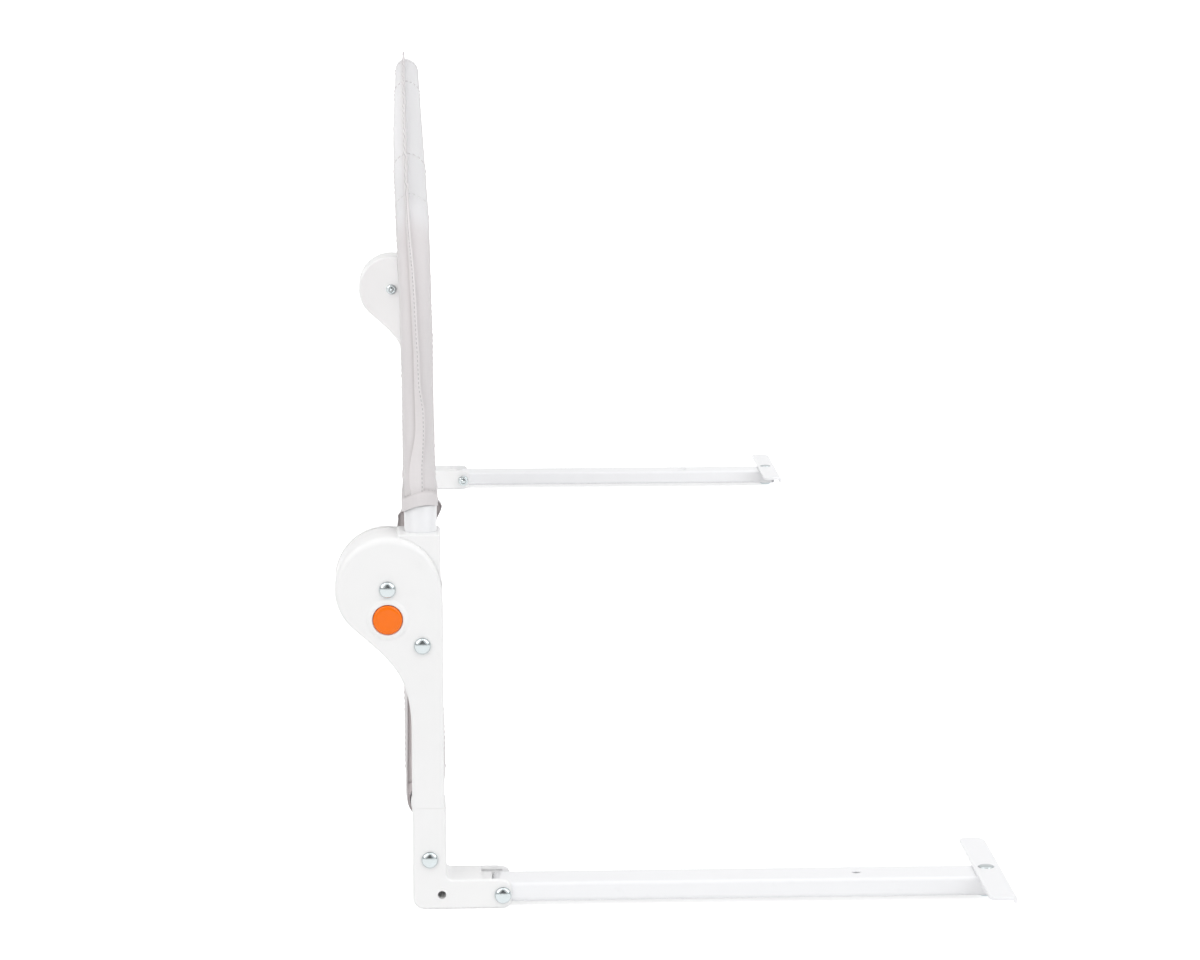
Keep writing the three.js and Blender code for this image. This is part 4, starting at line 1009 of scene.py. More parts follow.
def section_at(section, y):
    """A section of [inboard, z] pairs stood across the support at a place along it."""
    return np.column_stack([section[:, 0], np.full(len(section), y), section[:, 1]])


def plate_hole(low, high, side):
    """A drill for the cross plate's screw."""
    return upright_bar("screw", SCREW_HOLE, (low, high), PLATE_Y, SUPPORT_MIDDLE, side)


def support_tube(name, side):
    """The flat tube with its rounded tongue in the elbow and a small vent on top."""
    y, z = SUPPORT
    near, far = SUPPORT_SPAN
    low, high, end = SUPPORT_LOW - 1, SUPPORT_HIGH + 1, SUPPORT_END + 1
    section = rounded_box(near, far, SUPPORT_LOW, SUPPORT_HIGH, SUPPORT_CORNER, 8)
    points, faces = loft([section_at(section, at) for at in (y - SUPPORT_HALF, SUPPORT_END)])
    tube = new_piece(f"{name}_support", in_row(points, side), faces)
    tongue = chained(
        straight((end, high), (y, high), 1),
        arc(y, z, SUPPORT_HALF, 90, 270, 24),
        straight((y, low), (end, low), 1),
    )
    shaped(tube, ("INTERSECT", side_piece("tongue", tongue, 0, 40, SHARP, SHARP, side, 1)))
    inside = (SUPPORT_LOW + SUPPORT_WALL, SUPPORT_HIGH - SUPPORT_WALL)
    vent = [(0, z), (2.5, z), (2.5, SUPPORT_HIGH - 0.5), (3.0, SUPPORT_HIGH + 0.1), (3.0, SUPPORT_HIGH + 3),
            (0, SUPPORT_HIGH + 3)]
    cut(
        tube,
        block("bore", (near + SUPPORT_WALL, far - SUPPORT_WALL), (y - 2.4, SUPPORT_END + 3), inside, side),
        bar("pivot", BOLT_HOLE, (0, 40), y, z, side),
        lathe("vent", vent, VENT_Y, SUPPORT_MIDDLE, side, 32, upright=True),
        plate_hole(SUPPORT_LOW - 3, SUPPORT_HIGH + 3, side),
    )
    soft_shaded(tube, 30)
    dressed(tube, "coated_steel", f"{name}_support", "white_steel", f"{name}_support_tube")


def tube_plug(name, side):
    """The plug in the support's open end, with a rounded flange."""
    near, far = SUPPORT_SPAN
    start, end, edge, play = SUPPORT_END + 0.3, SUPPORT_END + 1.9, 0.8, 1.7
    flange = rounded_box(near, far, SUPPORT_LOW, SUPPORT_HIGH, SUPPORT_CORNER, 8)
    layers = [section_at(flange, start)]
    for turn in np.linspace(0, math.pi / 2, 6):
        rounded = inset(flange, edge * (1 - math.cos(turn)))
        layers.append(section_at(rounded, end + edge * math.sin(turn)))
    points, faces = loft(layers)
    plug = new_piece(f"{name}_plug", in_row(points, side), faces)
    heights = (SUPPORT_LOW + play, SUPPORT_HIGH - play)
    shaped(plug, ("UNION", block("body", (near + play, far - play), (348.6, 363), heights, side)))
    cut(plug, plate_hole(SUPPORT_LOW - 3, SUPPORT_HIGH + 3, side))
    soft_shaded(plug, 30)
    dressed(plug, "plug_grey", f"{name}_support", "grey_plastic", f"{name}_tube_plug")


def cross_plate(name, side):
    """A pressed strip with rounded ends whose bed-side edge is rolled down."""
    middle, reach, low = 17.0, 69.0, SUPPORT_HIGH + PLATE_GAP
    outline = rounded_box(middle - reach, middle + reach, 350.0, 366.9, 5.5, 12)
    rolled = np.interp(outline[:, 1], [362.0, 366.5], [0.5, 2.4])
    rings = [ring[:, [1, 2, 0]] for ring in moulding(outline, low - 3.1, low + PLATE_THICK, 0.3, rolled, 7)]
    points, faces = loft(rings)
    plate = new_piece(f"{name}_plate", in_row(points, side), faces)
    hollow = block("hollow", (-60, 95), (340, 365.3), (low - 6, low), side)
    cut(plate, hollow, plate_hole(low - 3, low + 5, side))
    soft_shaded(plate, 40)
    dressed(plate, "coated_steel", f"{name}_support", "white_steel", f"{name}_cross_plate")


class RAIL_OT_supports(bpy.types.Operator):
    """Builds the fold-up supports: flat tube, end plug and cross plate"""

    bl_idname = "guard_rail.supports"
    bl_label = "Supports"

    def execute(self, context):
        finishes(context)
        for name, side in SIDES:
            support_tube(name, side)
            tube_plug(name, side)
            cross_plate(name, side)
        return {"FINISHED"}


# Tubes


class RAIL_OT_tubes(bpy.types.Operator):
    """Sweeps the bent rail tubes and the crossbar"""

    bl_idname = "guard_rail.tubes"
    bl_label = "Tubes"

    def execute(self, context):
        finishes(context)
        sizes = context.scene.guard_rail_sizes
        tree = tree_called("tube_sweep", tube_tree)
        shared = {"Wall": 0.001, "Steps": sizes.round_steps, "Material": bpy.data.materials["coated_steel"]}
        frame_tube = {"Radius": sizes.frame_radius, "Bend": sizes.bend_radius, **shared}
        low_tube = {"Radius": sizes.tube_radius, "Bend": 0.0, **shared}
        radius, bore, middle = sizes.tube_radius / MM, 7.6, HALF - MIDDLE_GAP
        foot_profile = [(bore, 2.0), (radius, 2.0), (radius, 47.0), (radius - 0.3, 47.6), (8.3, 48.0),
                        (bore, 48.0), (bore, 2.0)]
        top = (TUBE_Y + lean(TOP_Z), TOP_Z)
        for name, side in SIDES:
            run = in_row([(PARTING, TUBE_Y, FRAME_START), (PARTING, *top), (middle, *top)], side)
            tube = grown(f"{name}_rail", poly_curves("route", [run]), tree, frame_tube)
            foot = lathe("foot", foot_profile, TUBE_Y, PARTING, side, 48, upright=True)
            joined = bmesh.new()
            for mesh in (tube.data, foot.data):
                joined.from_mesh(mesh)
            joined.to_mesh(tube.data)
            joined.free()
            bpy.data.objects.remove(foot)
            soft_shaded(tube, 40, weighted=False)
            dressed(tube, "coated_steel", "rail", "white_steel", f"{name}_rail_tube")
            run = in_row([(42.3, *CROSSBAR), (middle, *CROSSBAR)], side)
            bar_tube = grown(f"{name}_lower_bar", poly_curves("route", [run]), tree, low_tube)
            dressed(bar_tube, "coated_steel", "legs", "white_steel", f"{name}_crossbar")
        return {"FINISHED"}


# Fasteners


def screw_template(dome=2.15, rim=0.5):
    """A plated dome head with a short shank, facing +x."""
    turns = np.linspace(0, math.pi / 2, 16)
    profile = [(4.75 * math.sin(turn), -rim - dome * math.cos(turn)) for turn in turns]
    profile += [(4.92, -0.84 * rim), (5.0, -0.4 * rim), (4.85, 0.0), (2.1, 0.02), (2.1, 4.0), (0, 4.0)]
    return at_origin(lathe("screw_head", profile, 0, 0, 1, 48))


def nut_template():
    """A round lock nut with the bolt's end inside it, facing -x."""
    nut = side_piece("lock_nut", arc(0, 0, 4.7, 0, 360, 48)[:-1], 0.0, 3.0, 0.1, 1.3, 1, 6)
    end = lathe("end", [(0, 0.5), (2.1, 0.5), (2.1, 3.2), (1.8, 3.8), (1.1, 4.1), (0, 4.2)], 0, 0, 1, 24)
    cut(nut, bar("bore", 3.0, (-1, 5), 0, 0, 1, 36))
    washer = lathe("washer", [(0, 0.1), (3.6, 0.1), (3.6, 1.6), (0, 1.6)], 0, 0, 1, 36)
    return at_origin(shaped(nut, ("UNION", washer), ("UNION", end)))


def at_origin(piece):
    """Moves a template, built at the right hub's hinge axis, to the origin."""
    piece.data.transform(Matrix.Translation(-Vector(in_row([(0, 0, 0)])[0])))
    return soft_shaded(piece, 33, weighted=False)


class RAIL_OT_fasteners(bpy.types.Operator):
    """Sets the screws and nuts in the hubs, elbows and supports"""

    bl_idname = "guard_rail.fasteners"
    bl_label = "Fasteners"

    def execute(self, context):
        finishes(context)
        tree = tree_called("fasteners", scatter_tree)
        screw, low_screw, nut = screw_template(), screw_template(0.85, 0.2), nut_template()
        places = ((0, 0), HUB_SCREW, ELBOW_SCREW, (SUPPORT[0], SUPPORT[1] - 0.7))
        depths = (HUB_DEPTH, HUB_DEPTH, ARM_DEPTH, ARM_DEPTH)
        turns = (0.3, 0.9, 0.5, 1.2)
        heads = ("pivot_bolt", "hub_screw", "elbow_screw", "support_bolt")
        nuts = ("pivot_nut", "hub_nut", "elbow_nut", "support_nut")
        for name, side in SIDES:
            flip = 0.0 if side > 0 else math.pi
            outer = [(-HEAD_GAP, *place) for place in places]
            inner = [(depth + HEAD_GAP, *place) for place, depth in zip(places, depths)]
            facing = [(turn, 0.0, flip) for turn in turns]
            made = scattered(f"{name}_screws", screw, tree, outer, facing, side)
            dressed(made, "zinc_plate", "legs", "zinc_steel", *[f"{name}_{node}" for node in heads])
            made = scattered(f"{name}_nuts", nut, tree, inner, [(0.0, 0.0, flip)] * len(inner), side)
            dressed(made, "zinc_plate", "legs", "zinc_steel", *[f"{name}_{node}" for node in nuts])
            top = (SUPPORT_MIDDLE, PLATE_Y, SUPPORT_HIGH + PLATE_GAP + PLATE_THICK)
            made = scattered(f"{name}_plate_fixing", low_screw, tree, [top], [(0.4, -math.pi / 2, 0.0)], side)
            dressed(made, "zinc_plate", f"{name}_support", "zinc_steel", f"{name}_plate_screw")
            polished(f"{name}_plate_stud", f"{name}_plate_nut", "zinc_plate", f"{name}_support", "zinc_steel")
        for template in (screw, low_screw, nut):
            bpy.data.objects.remove(template)
        return {"FINISHED"}


def scattered(name, template, tree, places, turns, side):
    """One mesh of a template set at each place and turned about the row's three axes."""
    base = new_piece(name + "_points", in_row(places, side), [], outward=False)
    facing = base.data.attributes.new("facing", "FLOAT_VECTOR", "POINT")
    for item, turn in zip(facing.data, turns):
        item.vector = turn
    return grown(name, base, tree, {"Piece": template, "Material": bpy.data.materials["zinc_plate"]})


# Cover


# A place on the cloth is u along the rail from its middle and v up from the hinge, both when it lies flat
LEG_X = HALF - PARTING
SLEEVE = 8.95
WRAP, WRAP_NEAR = 11.8, 10.2
HEM_CREST, HEM_BAND = 47.8, 8.8
SWELL, RIPPLE, PUCKER = 150.0, 42.0, 17.0
BESIDE_HUBS = 640.0
CLOTH, NET, TAPE, LINING = 0.45, 0.3, 0.5, 0.4

# Seams at these distances from the middle, and the stitch rows beside them
SEAMS = (619.0, 350.0, 0.0)
SEAM_STITCHES = (622.2, 346.6, 353.4)

# Each window: its near and far edge, its low and high edge and its corner radius
WINDOW = (34.0, 322.0, -96.0, 158.0, 26.0)
TAPE_WIDTH, TAPE_STITCH = 13.0, 4.6
PANELS = [(sign, back) for sign in (1, -1) for back in (False, True)]

UPPER_ROWS, LOWER_ROWS = 46, 40
SLEEVE_TURNS = np.radians(np.linspace(-90, 90, 31))

# How far the cloth stands out beside the hubs at each height, on the far side and on the bed side
MOUTH = (
    (-145, -113, -76, -50, -10, 10, 26, 30, 34, 36.7, 37.8, 38.6, 40),
    (-0.5, -0.7, -0.9, 0.1, 2.2, 3.8, 4.8, 4.7, 4.1, 3.5, 2.0, 0.5, 0.0),
)
TUCK = (
    (-40, 10, 30, 33.6, 35.3, 38.5, 41.0, 42.4, 43.4, 44.6, 46.5, 54.0),
    (0.0, -0.2, 0.1, 0.5, 0.9, 1.8, 2.5, 2.9, 2.2, 0.8, 0.2, 0.0),
)
# How far the far side bulges under the top run at each place along the rail
BULGE = ((-706, -300, 100, 500, 706), (2.2, 3.2, 3.6, 2.2, 0.8))


def eased(value):
    """A soft step from 0 to 1."""
    value = np.clip(value, 0.0, 1.0)
    return value * value * (3 - 2 * value)


def bump(distance, width):
    """A soft bump of height 1 round distance 0."""
    return np.exp(-((distance / width) ** 2))


def near_end(u, width=60.0):
    """How close a place is to the cover's ends, from 0 along the rail to 1 beside the hubs."""
    return eased((np.abs(u) - BESIDE_HUBS) / width)


def waves(u, v, seed, length, count=9):
    """A sum of waves of about one length over two coordinates, from -1 to 1."""
    pick = np.random.default_rng(seed)
    total = 0.0
    for _ in range(count):
        angle = pick.uniform(0, 2 * math.pi)
        each = pick.uniform(0.6, 1.7) * length
        phase = pick.uniform(0, 6.28)
        along = u * math.cos(angle) + v * math.sin(angle)
        total = total + np.sin(along * 2 * math.pi / each + phase)
    return total / count


def frame_line():
    """Stations round the frame's bends and top: x, z and the outward angle in radians."""
    notch = math.acos((COVER_EDGE - LEG_X + BEND) / BEND)
    bend = np.array([*np.linspace(0, notch, 9), *np.linspace(notch, math.pi / 2, 9)[1:]])
    x = LEG_X - BEND + BEND * np.cos(bend)
    z = TOP_Z - BEND + BEND * np.sin(bend)
    middle = np.linspace(x[-1], -x[-1], 191)[1:-1]
    return (
        np.array([*x, *middle, *-x[::-1]]),
        np.array([*z, *np.full(len(middle), TOP_Z), *z[::-1]]),
        np.array([*bend, *np.full(len(middle), math.pi / 2), *(math.pi - bend[::-1])]),
    )


def hem_line(back):
    """The height of the sleeve's hem, from its far side (0) over the crest to its bed side (1)."""
    across = 2 * np.asarray(back, float) - 1
    return HEM_CREST + 1.75 * across - 3.15 * across**2


def seam_relief(u, v):
    """The valleys of the seams, the cloth's rise beside them and its small puckers."""
    out = 0.0
    for seam in SEAMS:
        off = np.abs(u) - seam
        depth = 0.16 if seam == 0 else 0.34
        out = out - depth * bump(off, 2.6) + 0.22 * depth / 0.34 * bump(np.abs(off) - 6, 3.5)
        out = out + 0.16 * np.sin(v * 0.72 + 1.3 * np.sin(u * 0.31)) * bump(off, 10)
    return out


def hem_relief(u, v, rise, back):
    """The gathered folds above the hem beside the hubs, the hem's band and the groove between them."""
    near = near_end(u)
    slack = np.exp(-np.clip(rise, 0, None) / 26) * near
    falling = np.sin((v * 0.8 - np.abs(u) * 0.55) / 4.1)
    rising = np.sin((v * 0.6 + np.abs(u) * 0.9) / 6.3 + 1.0)
    out = slack * eased((rise - 9.4) / 4) * 0.52 * (falling * 0.5 + rising * 0.5 + 0.3)
    out = out + near * eased((HEM_BAND - 0.2 - rise) / 2.0) * eased((v - 34) / 6) * (1.8 - 0.8 * back)
    out = out - near * 0.5 * (1 - back) * eased((v - 52) / 5) * eased((80 - v) / 15)
    return out - near * 0.45 * bump(rise - HEM_BAND, 1.0)


def edge_relief(u, v, limit, back):
    """Puckers along the cloth's ends, the bulge under the top run and the flaps beside the hubs."""
    inward = np.maximum(limit - 20 - np.abs(u), 0) / 25
    out = 0.2 * waves(u, v, 21, PUCKER, 7) * np.exp(-(inward**2) * eased((TOP_Z - 25 - v) / 20))
    out = out + np.interp(u, *BULGE) * (1 - back) * bump(TOP_Z - v, 48) * eased((v - 150) / 40)
    flaps = np.interp(v, *MOUTH) * (1 - back) + np.interp(v, *TUCK) * back
    return out + bump(np.abs(u) - COVER_EDGE, 13) * flaps


def relief(u, v, back):
    """How far the cloth stands out of its smooth shape; back is 0 on the far side and 1 on the bed side."""
    rise = v - hem_line(back)
    limit = np.where(rise > 0, LEG_X, COVER_EDGE - 4)
    inside = eased(np.minimum(TOP_Z - v, limit - np.abs(u)) / 70)
    far_swell, bed_swell = waves(u, v, 5, SWELL), waves(u, v, 6, SWELL)
    out = 0.08 + far_swell * 1.5 * inside * (1 - back) + bed_swell * 1.5 * inside * back
    out = out + waves(u, v, 15, RIPPLE) * 0.3 * (0.3 + 0.7 * inside)
    return out + seam_relief(u, v) + hem_relief(u, v, rise, back) + edge_relief(u, v, limit, back)


def wrap(u, back):
    """The cloth's radius round the crossbar, which is smaller on the bed side beside the arms."""
    return WRAP - (WRAP - WRAP_NEAR) * back * near_end(u, 50.0)


def shade(u, v, back):
    """How much painted shade darkens the cloth along the seams and in the hem's groove, from 0 to 1."""
    groove = near_end(u) * bump(v - hem_line(back) - HEM_BAND, 0.9)
    for seam in SEAMS[:2]:
        groove = groove + 0.8 * bump(np.abs(u) - seam, 1.5)
    return np.clip(groove, 0.0, 1.0)


def panel_point(u, v, back):
    """A point of the far (0) or bed-side (1) panel."""
    low = eased((20.0 - v) / 150.0)
    far_y = TUBE_Y - SLEEVE - relief(u, v, 0.0) + low * (CROSSBAR[0] - WRAP - TUBE_Y + SLEEVE)
    bed_y = TUBE_Y + SLEEVE + relief(u, v, 1.0) + low * (CROSSBAR[0] + wrap(u, 1.0) - TUBE_Y - SLEEVE)
    return np.stack([u, np.where(back, bed_y, far_y) + lean(v), v], -1)


def on_panel(u, v, back, lift):
    """Points a little outside a panel's cloth."""
    place = panel_point(u, v, back)
    place[:, 1] += lift if back else -lift
    return place


def seam_root(outward, z):
    """The angle round the sleeve at which the edge seam stands, which turns to the far side near the hem."""
    return np.radians(-9.0 - 12.0 * np.sin(outward) - 26.0 * pressed(z))


def pressed(z):
    """How flat the edge seam lies at a height, from 0 standing to 1 flat."""
    return eased((95.0 - np.asarray(z, float)) / 29.0)


def sleeve_point(x, z, outward, turn):
    """A point of the sleeve round the tube, its flat place and its shade. The turn is 0 outwards and a right
    angle on the bed side. The shade is below 0 for painted light on the top run and above 0 for painted
    shade."""
    away = SLEEVE * (math.pi / 2 - np.abs(turn))
    u, v = x + np.cos(outward) * away, z + np.sin(outward) * away
    back = (1 + np.sin(turn)) / 2
    off = np.degrees(turn - seam_root(outward, z))
    sewn = eased((v - 60) / 10)
    pulled = 0.55 * bump(off + 36, 15) - 0.16 * bump(off + 4, 8)
    pulled = pulled * sewn + 1.2 * np.sin(outward) ** 2 * bump(off, 26)
    radius = SLEEVE + relief(u, v, back) + pulled
    reach = radius * np.cos(turn)
    bedward = TUBE_Y + lean(z) + radius * np.sin(turn)
    place = np.stack([x + reach * np.cos(outward), bedward, z + reach * np.sin(outward)], -1)
    # Painted shade: the valley beside the edge seam's root is darkened, less where the seam lies flat.
    dark = 0.9 * bump(off + 4, 6) * sewn * (1 - 0.6 * pressed(z))
    # Painted light: the top of the top run, which faces the overhead lamp, is lightened.
    painted_top_light = 0.85 * eased(np.sin(outward) * 5.0 - 4.0) * eased(1.6 * np.cos(turn))
    return place, np.stack([u, v], -1), np.clip(shade(u, v, back) + dark - painted_top_light, -1, 1)


def tube_line(x, z):
    """Points in the middle of the frame's tube."""
    return np.stack(np.broadcast_arrays(x, TUBE_Y + lean(z), z), -1)


def off_sleeve(x, z, outward, turns, lift):
    """Points across the sleeve, a little outside the cloth."""
    place, middle = sleeve_point(x, z, outward, turns)[0], tube_line(x, z)
    return middle + (place - middle) * (1 + lift / SLEEVE)


class Patches:
    """Grids of points in millimetres, with flat places, that are joined into one cloth."""

    def __init__(self):
        self.points, self.flat, self.faces, self.shades, self.count = [], [], [], [], 0

    def add(self, points, flat, shades):
        """Adds a grid of points with their flat places and shades."""
        rows, columns = points.shape[:2]
        index = self.count + np.arange(rows * columns).reshape(rows, columns)
        quads = np.stack([index[:-1, :-1], index[1:, :-1], index[1:, 1:], index[:-1, 1:]], -1)
        self.faces += quads.reshape(-1, 4).tolist()
        self.points.append(points.reshape(-1, 3))
        self.flat.append(flat.reshape(-1, 2))
        self.shades.append(np.broadcast_to(shades, points.shape[:2]).ravel())
        self.count += rows * columns

    def panel(self, u, v, back):
        """Adds a grid of the far or the bed-side panel."""
        self.add(panel_point(u, v, back), np.stack([u, v], -1), shade(u, v, float(back)))

    def piece(self, name, thickness, keep=None):
        """The cloth as a mesh of the given thickness, and its flat area in square metres. Keep says which
        flat places stay."""
        points, flat = np.vstack(self.points), np.vstack(self.flat)
        faces = np.array(self.faces)
        if keep is not None:
            middle = flat[faces].mean(1)
            faces = faces[keep(middle[:, 0], middle[:, 1])]
        across, along = flat[faces][:, 2] - flat[faces][:, 0], flat[faces][:, 3] - flat[faces][:, 1]
        area = np.abs(across[:, 0] * along[:, 1] - across[:, 1] * along[:, 0]).sum() / 2 * MM * MM
        made = new_piece(name, from_middle(points), faces.tolist(), outward=False)
        layer = made.data.uv_layers.new(name="cloth")
        layer.uv.foreach_set("vector", (flat[faces.ravel()] * MM).ravel())
        tint = made.data.attributes.new("shade", "FLOAT", "POINT")
        tint.data.foreach_set("value", np.concatenate(self.shades))
        joined = bmesh.new()
        joined.from_mesh(made.data)
        bmesh.ops.remove_doubles(joined, verts=joined.verts, dist=1e-6)
        loose = [corner for corner in joined.verts if not corner.link_faces]
        bmesh.ops.delete(joined, geom=loose, context="VERTS")
        bmesh.ops.recalc_face_normals(joined, faces=joined.faces)
        for face in joined.faces:
            face.smooth = True
        joined.to_mesh(made.data)
        joined.free()
        step = made.modifiers.new("thickness", "SOLIDIFY")
        step.thickness, step.offset, step.use_even_offset = thickness * MM, 0.0, True
        mesh = modified_mesh(made)
        made.modifiers.clear()
        made.data = mesh
        return made, area


def in_window(u, v, grow=0.0):
    """Whether flat places lie in a rounded window, grown or shrunk by a margin."""
    left, right, low, high, corner = WINDOW
    u = np.abs(u)
    du = np.maximum(np.maximum(left + corner - u, u - right + corner), 0)
    dv = np.maximum(np.maximum(low + corner - v, v - high + corner), 0)
    return np.hypot(du, dv) < corner + grow


def window_loop(sign, margin):
    """A closed loop of flat places round one window."""
    left, right, low, high, corner = WINDOW
    loop = rounded_box(left - margin, right + margin, low - margin, high + margin, corner + margin, 8)
    dense = []
    for start, end in zip(loop, np.roll(loop, -1, 0)):
        steps = max(1, int(np.linalg.norm(end - start) / 5))
        dense += [start + (end - start) * k / steps for k in range(steps)]
    return np.array([*dense, dense[0]]) * (sign, 1)


def binding(patches, sign, back):
    """A tape round a window's edge, just outside the cloth."""
    layers = []
    for share, lift in ((-0.5, 0.5), (-0.2, 0.65), (0.2, 0.65), (0.5, 0.5)):
        flat = window_loop(sign, share * TAPE_WIDTH)
        layers.append((on_panel(flat[:, 0], flat[:, 1], back, lift), flat))
    smallest = min(len(place) for place, _ in layers)
    spread = [np.round(np.linspace(0, len(place) - 1, smallest)).astype(int) for place, _ in layers]
    patches.add(
        np.stack([place[pick] for (place, _), pick in zip(layers, spread)]),
        np.stack([flat[pick] for (_, flat), pick in zip(layers, spread)]),
        0.0,
    )


def window_tapes():
    """The tapes round both windows on both panels."""
    tapes = Patches()
    for sign, back in PANELS:
        binding(tapes, sign, back)
    return tapes.piece("window_bindings", TAPE)[0]


def window_nets():
    """The nets in both windows, and their area. The bed-side weave is turned against the far one."""
    left, right, low, high, _ = WINDOW
    lap = 4
    u, v = np.meshgrid(
        np.linspace(left - lap, right + lap, 56), np.linspace(low - lap, high + lap, 50), indexing="ij"
    )
    nets = Patches()
    for sign, back in PANELS:
        nets.panel(u * sign, v, back)
    net, area = nets.piece("window_nets", NET, lambda u, v: in_window(u, v, 4.5))
    mesh = net.data
    points = np.empty(len(mesh.vertices) * 3)
    mesh.vertices.foreach_get("co", points)
    corners = np.array([loop.vertex_index for loop in mesh.loops])
    places = np.empty(len(corners) * 2)
    mesh.uv_layers["cloth"].uv.foreach_get("vector", places)
    places, bedside = places.reshape(-1, 2), points[1::3][corners] > HINGE.y + TUBE_Y * MM
    places[bedside] = places[bedside] @ [[0.83, 0.6], [-0.6, 0.83]]
    mesh.uv_layers["cloth"].uv.foreach_set("vector", places.ravel())
    return net, area


def cover_patches():
    """The sleeve on the frame, both panels and the wrap round the crossbar."""
    x, z, outward = frame_line()
    cloth = Patches()
    cloth.add(*sleeve_point(x[:, None], z[:, None], outward[:, None], SLEEVE_TURNS[None, :]))
    share = 1 - np.linspace(1, 0, UPPER_ROWS + 1) ** 1.8
    hem, start = hem_line((1 + np.sin(SLEEVE_TURNS)) / 2), TOP_Z - BEND
    heights = start + (hem[None, :] - start) * share[:, None]
    turns = np.broadcast_to(SLEEVE_TURNS, heights.shape)
    for sign, angle in ((1, 0.0), (-1, math.pi)):
        cloth.add(*sleeve_point(sign * LEG_X, heights, angle, turns))
    inner = np.abs(x) <= COVER_EDGE + 1e-6
    for back in (False, True):
        hem = hem_line(back)
        v = z[:, None] + (hem - z[:, None]) * share[None, :]
        cloth.panel(np.broadcast_to(x[:, None], v.shape), v, back)
        rows = hem + (CROSSBAR[1] - hem) * np.linspace(0, 1, LOWER_ROWS + 1) ** 1.6
        v = np.broadcast_to(rows[None, :], (inner.sum(), len(rows)))
        cloth.panel(np.broadcast_to(x[inner][:, None], v.shape), v, back)
    around = np.radians(np.linspace(0, -180, 13))
    u = np.broadcast_to(x[inner][:, None], (inner.sum(), len(around)))
    down = WRAP * (math.pi / 2 - np.abs(around + math.pi / 2))
    flat = np.stack(np.broadcast_arrays(u, CROSSBAR[1] - down), -1)
    back = (1 + np.cos(around)) / 2
    radius = wrap(u, back) + relief(flat[..., 0], flat[..., 1], back)
    bedward, height = CROSSBAR[0] + radius * np.cos(around), CROSSBAR[1] + WRAP * np.sin(around)
    cloth.add(np.stack(np.broadcast_arrays(u, bedward, height), -1), flat, 0.0)
    return cloth


def gussets():
    """The cover's narrow side walls below the sleeves, set in a little from the two panels' edges, with a
    cap round the crossbar at the foot of each."""
    cloth, bore, flat_top = Patches(), 9.75, 9.8
    across = np.linspace(0, 1, 9)
    top, share = hem_line(across) - 0.5, np.linspace(0, 1, 48)[:, None] ** 1.4
    rows = top + (CROSSBAR[1] + flat_top - top) * share
    around = np.radians(np.linspace(0, 360, 73))
    cosine, sine = np.cos(around), np.sin(around)
    sides = np.where(cosine > 0, WRAP_NEAR - 0.1, WRAP - 0.3)
    upper = np.minimum(sides / np.maximum(np.abs(cosine), 1e-6), flat_top / np.maximum(sine, 1e-6))
    edge = np.maximum(np.where(sine > 0, upper, sides), flat_top)
    reach = bore + (edge - bore) * np.linspace(0, 1, 4)[:, None]
    for sign in (1, -1):
        u = sign * (COVER_EDGE - 1.6)
        ends = [panel_point(np.full(rows.shape, u), rows, back) for back in (False, True)]
        place = ends[0] + (ends[1] - ends[0]) * across[None, :, None]
        place[..., 0] -= sign * 1.2 * np.sin(across * math.pi)[None, :]
        cloth.add(place, np.stack(np.broadcast_arrays(u + across[None, :] * 22.0, rows), -1), 0.0)
        cap = np.broadcast_arrays(u, CROSSBAR[0] + reach * cosine, CROSSBAR[1] + reach * sine)
        cloth.add(np.stack(cap, -1), np.stack(cap[1:], -1) + (u, 0.0), 0.0)
    return cloth


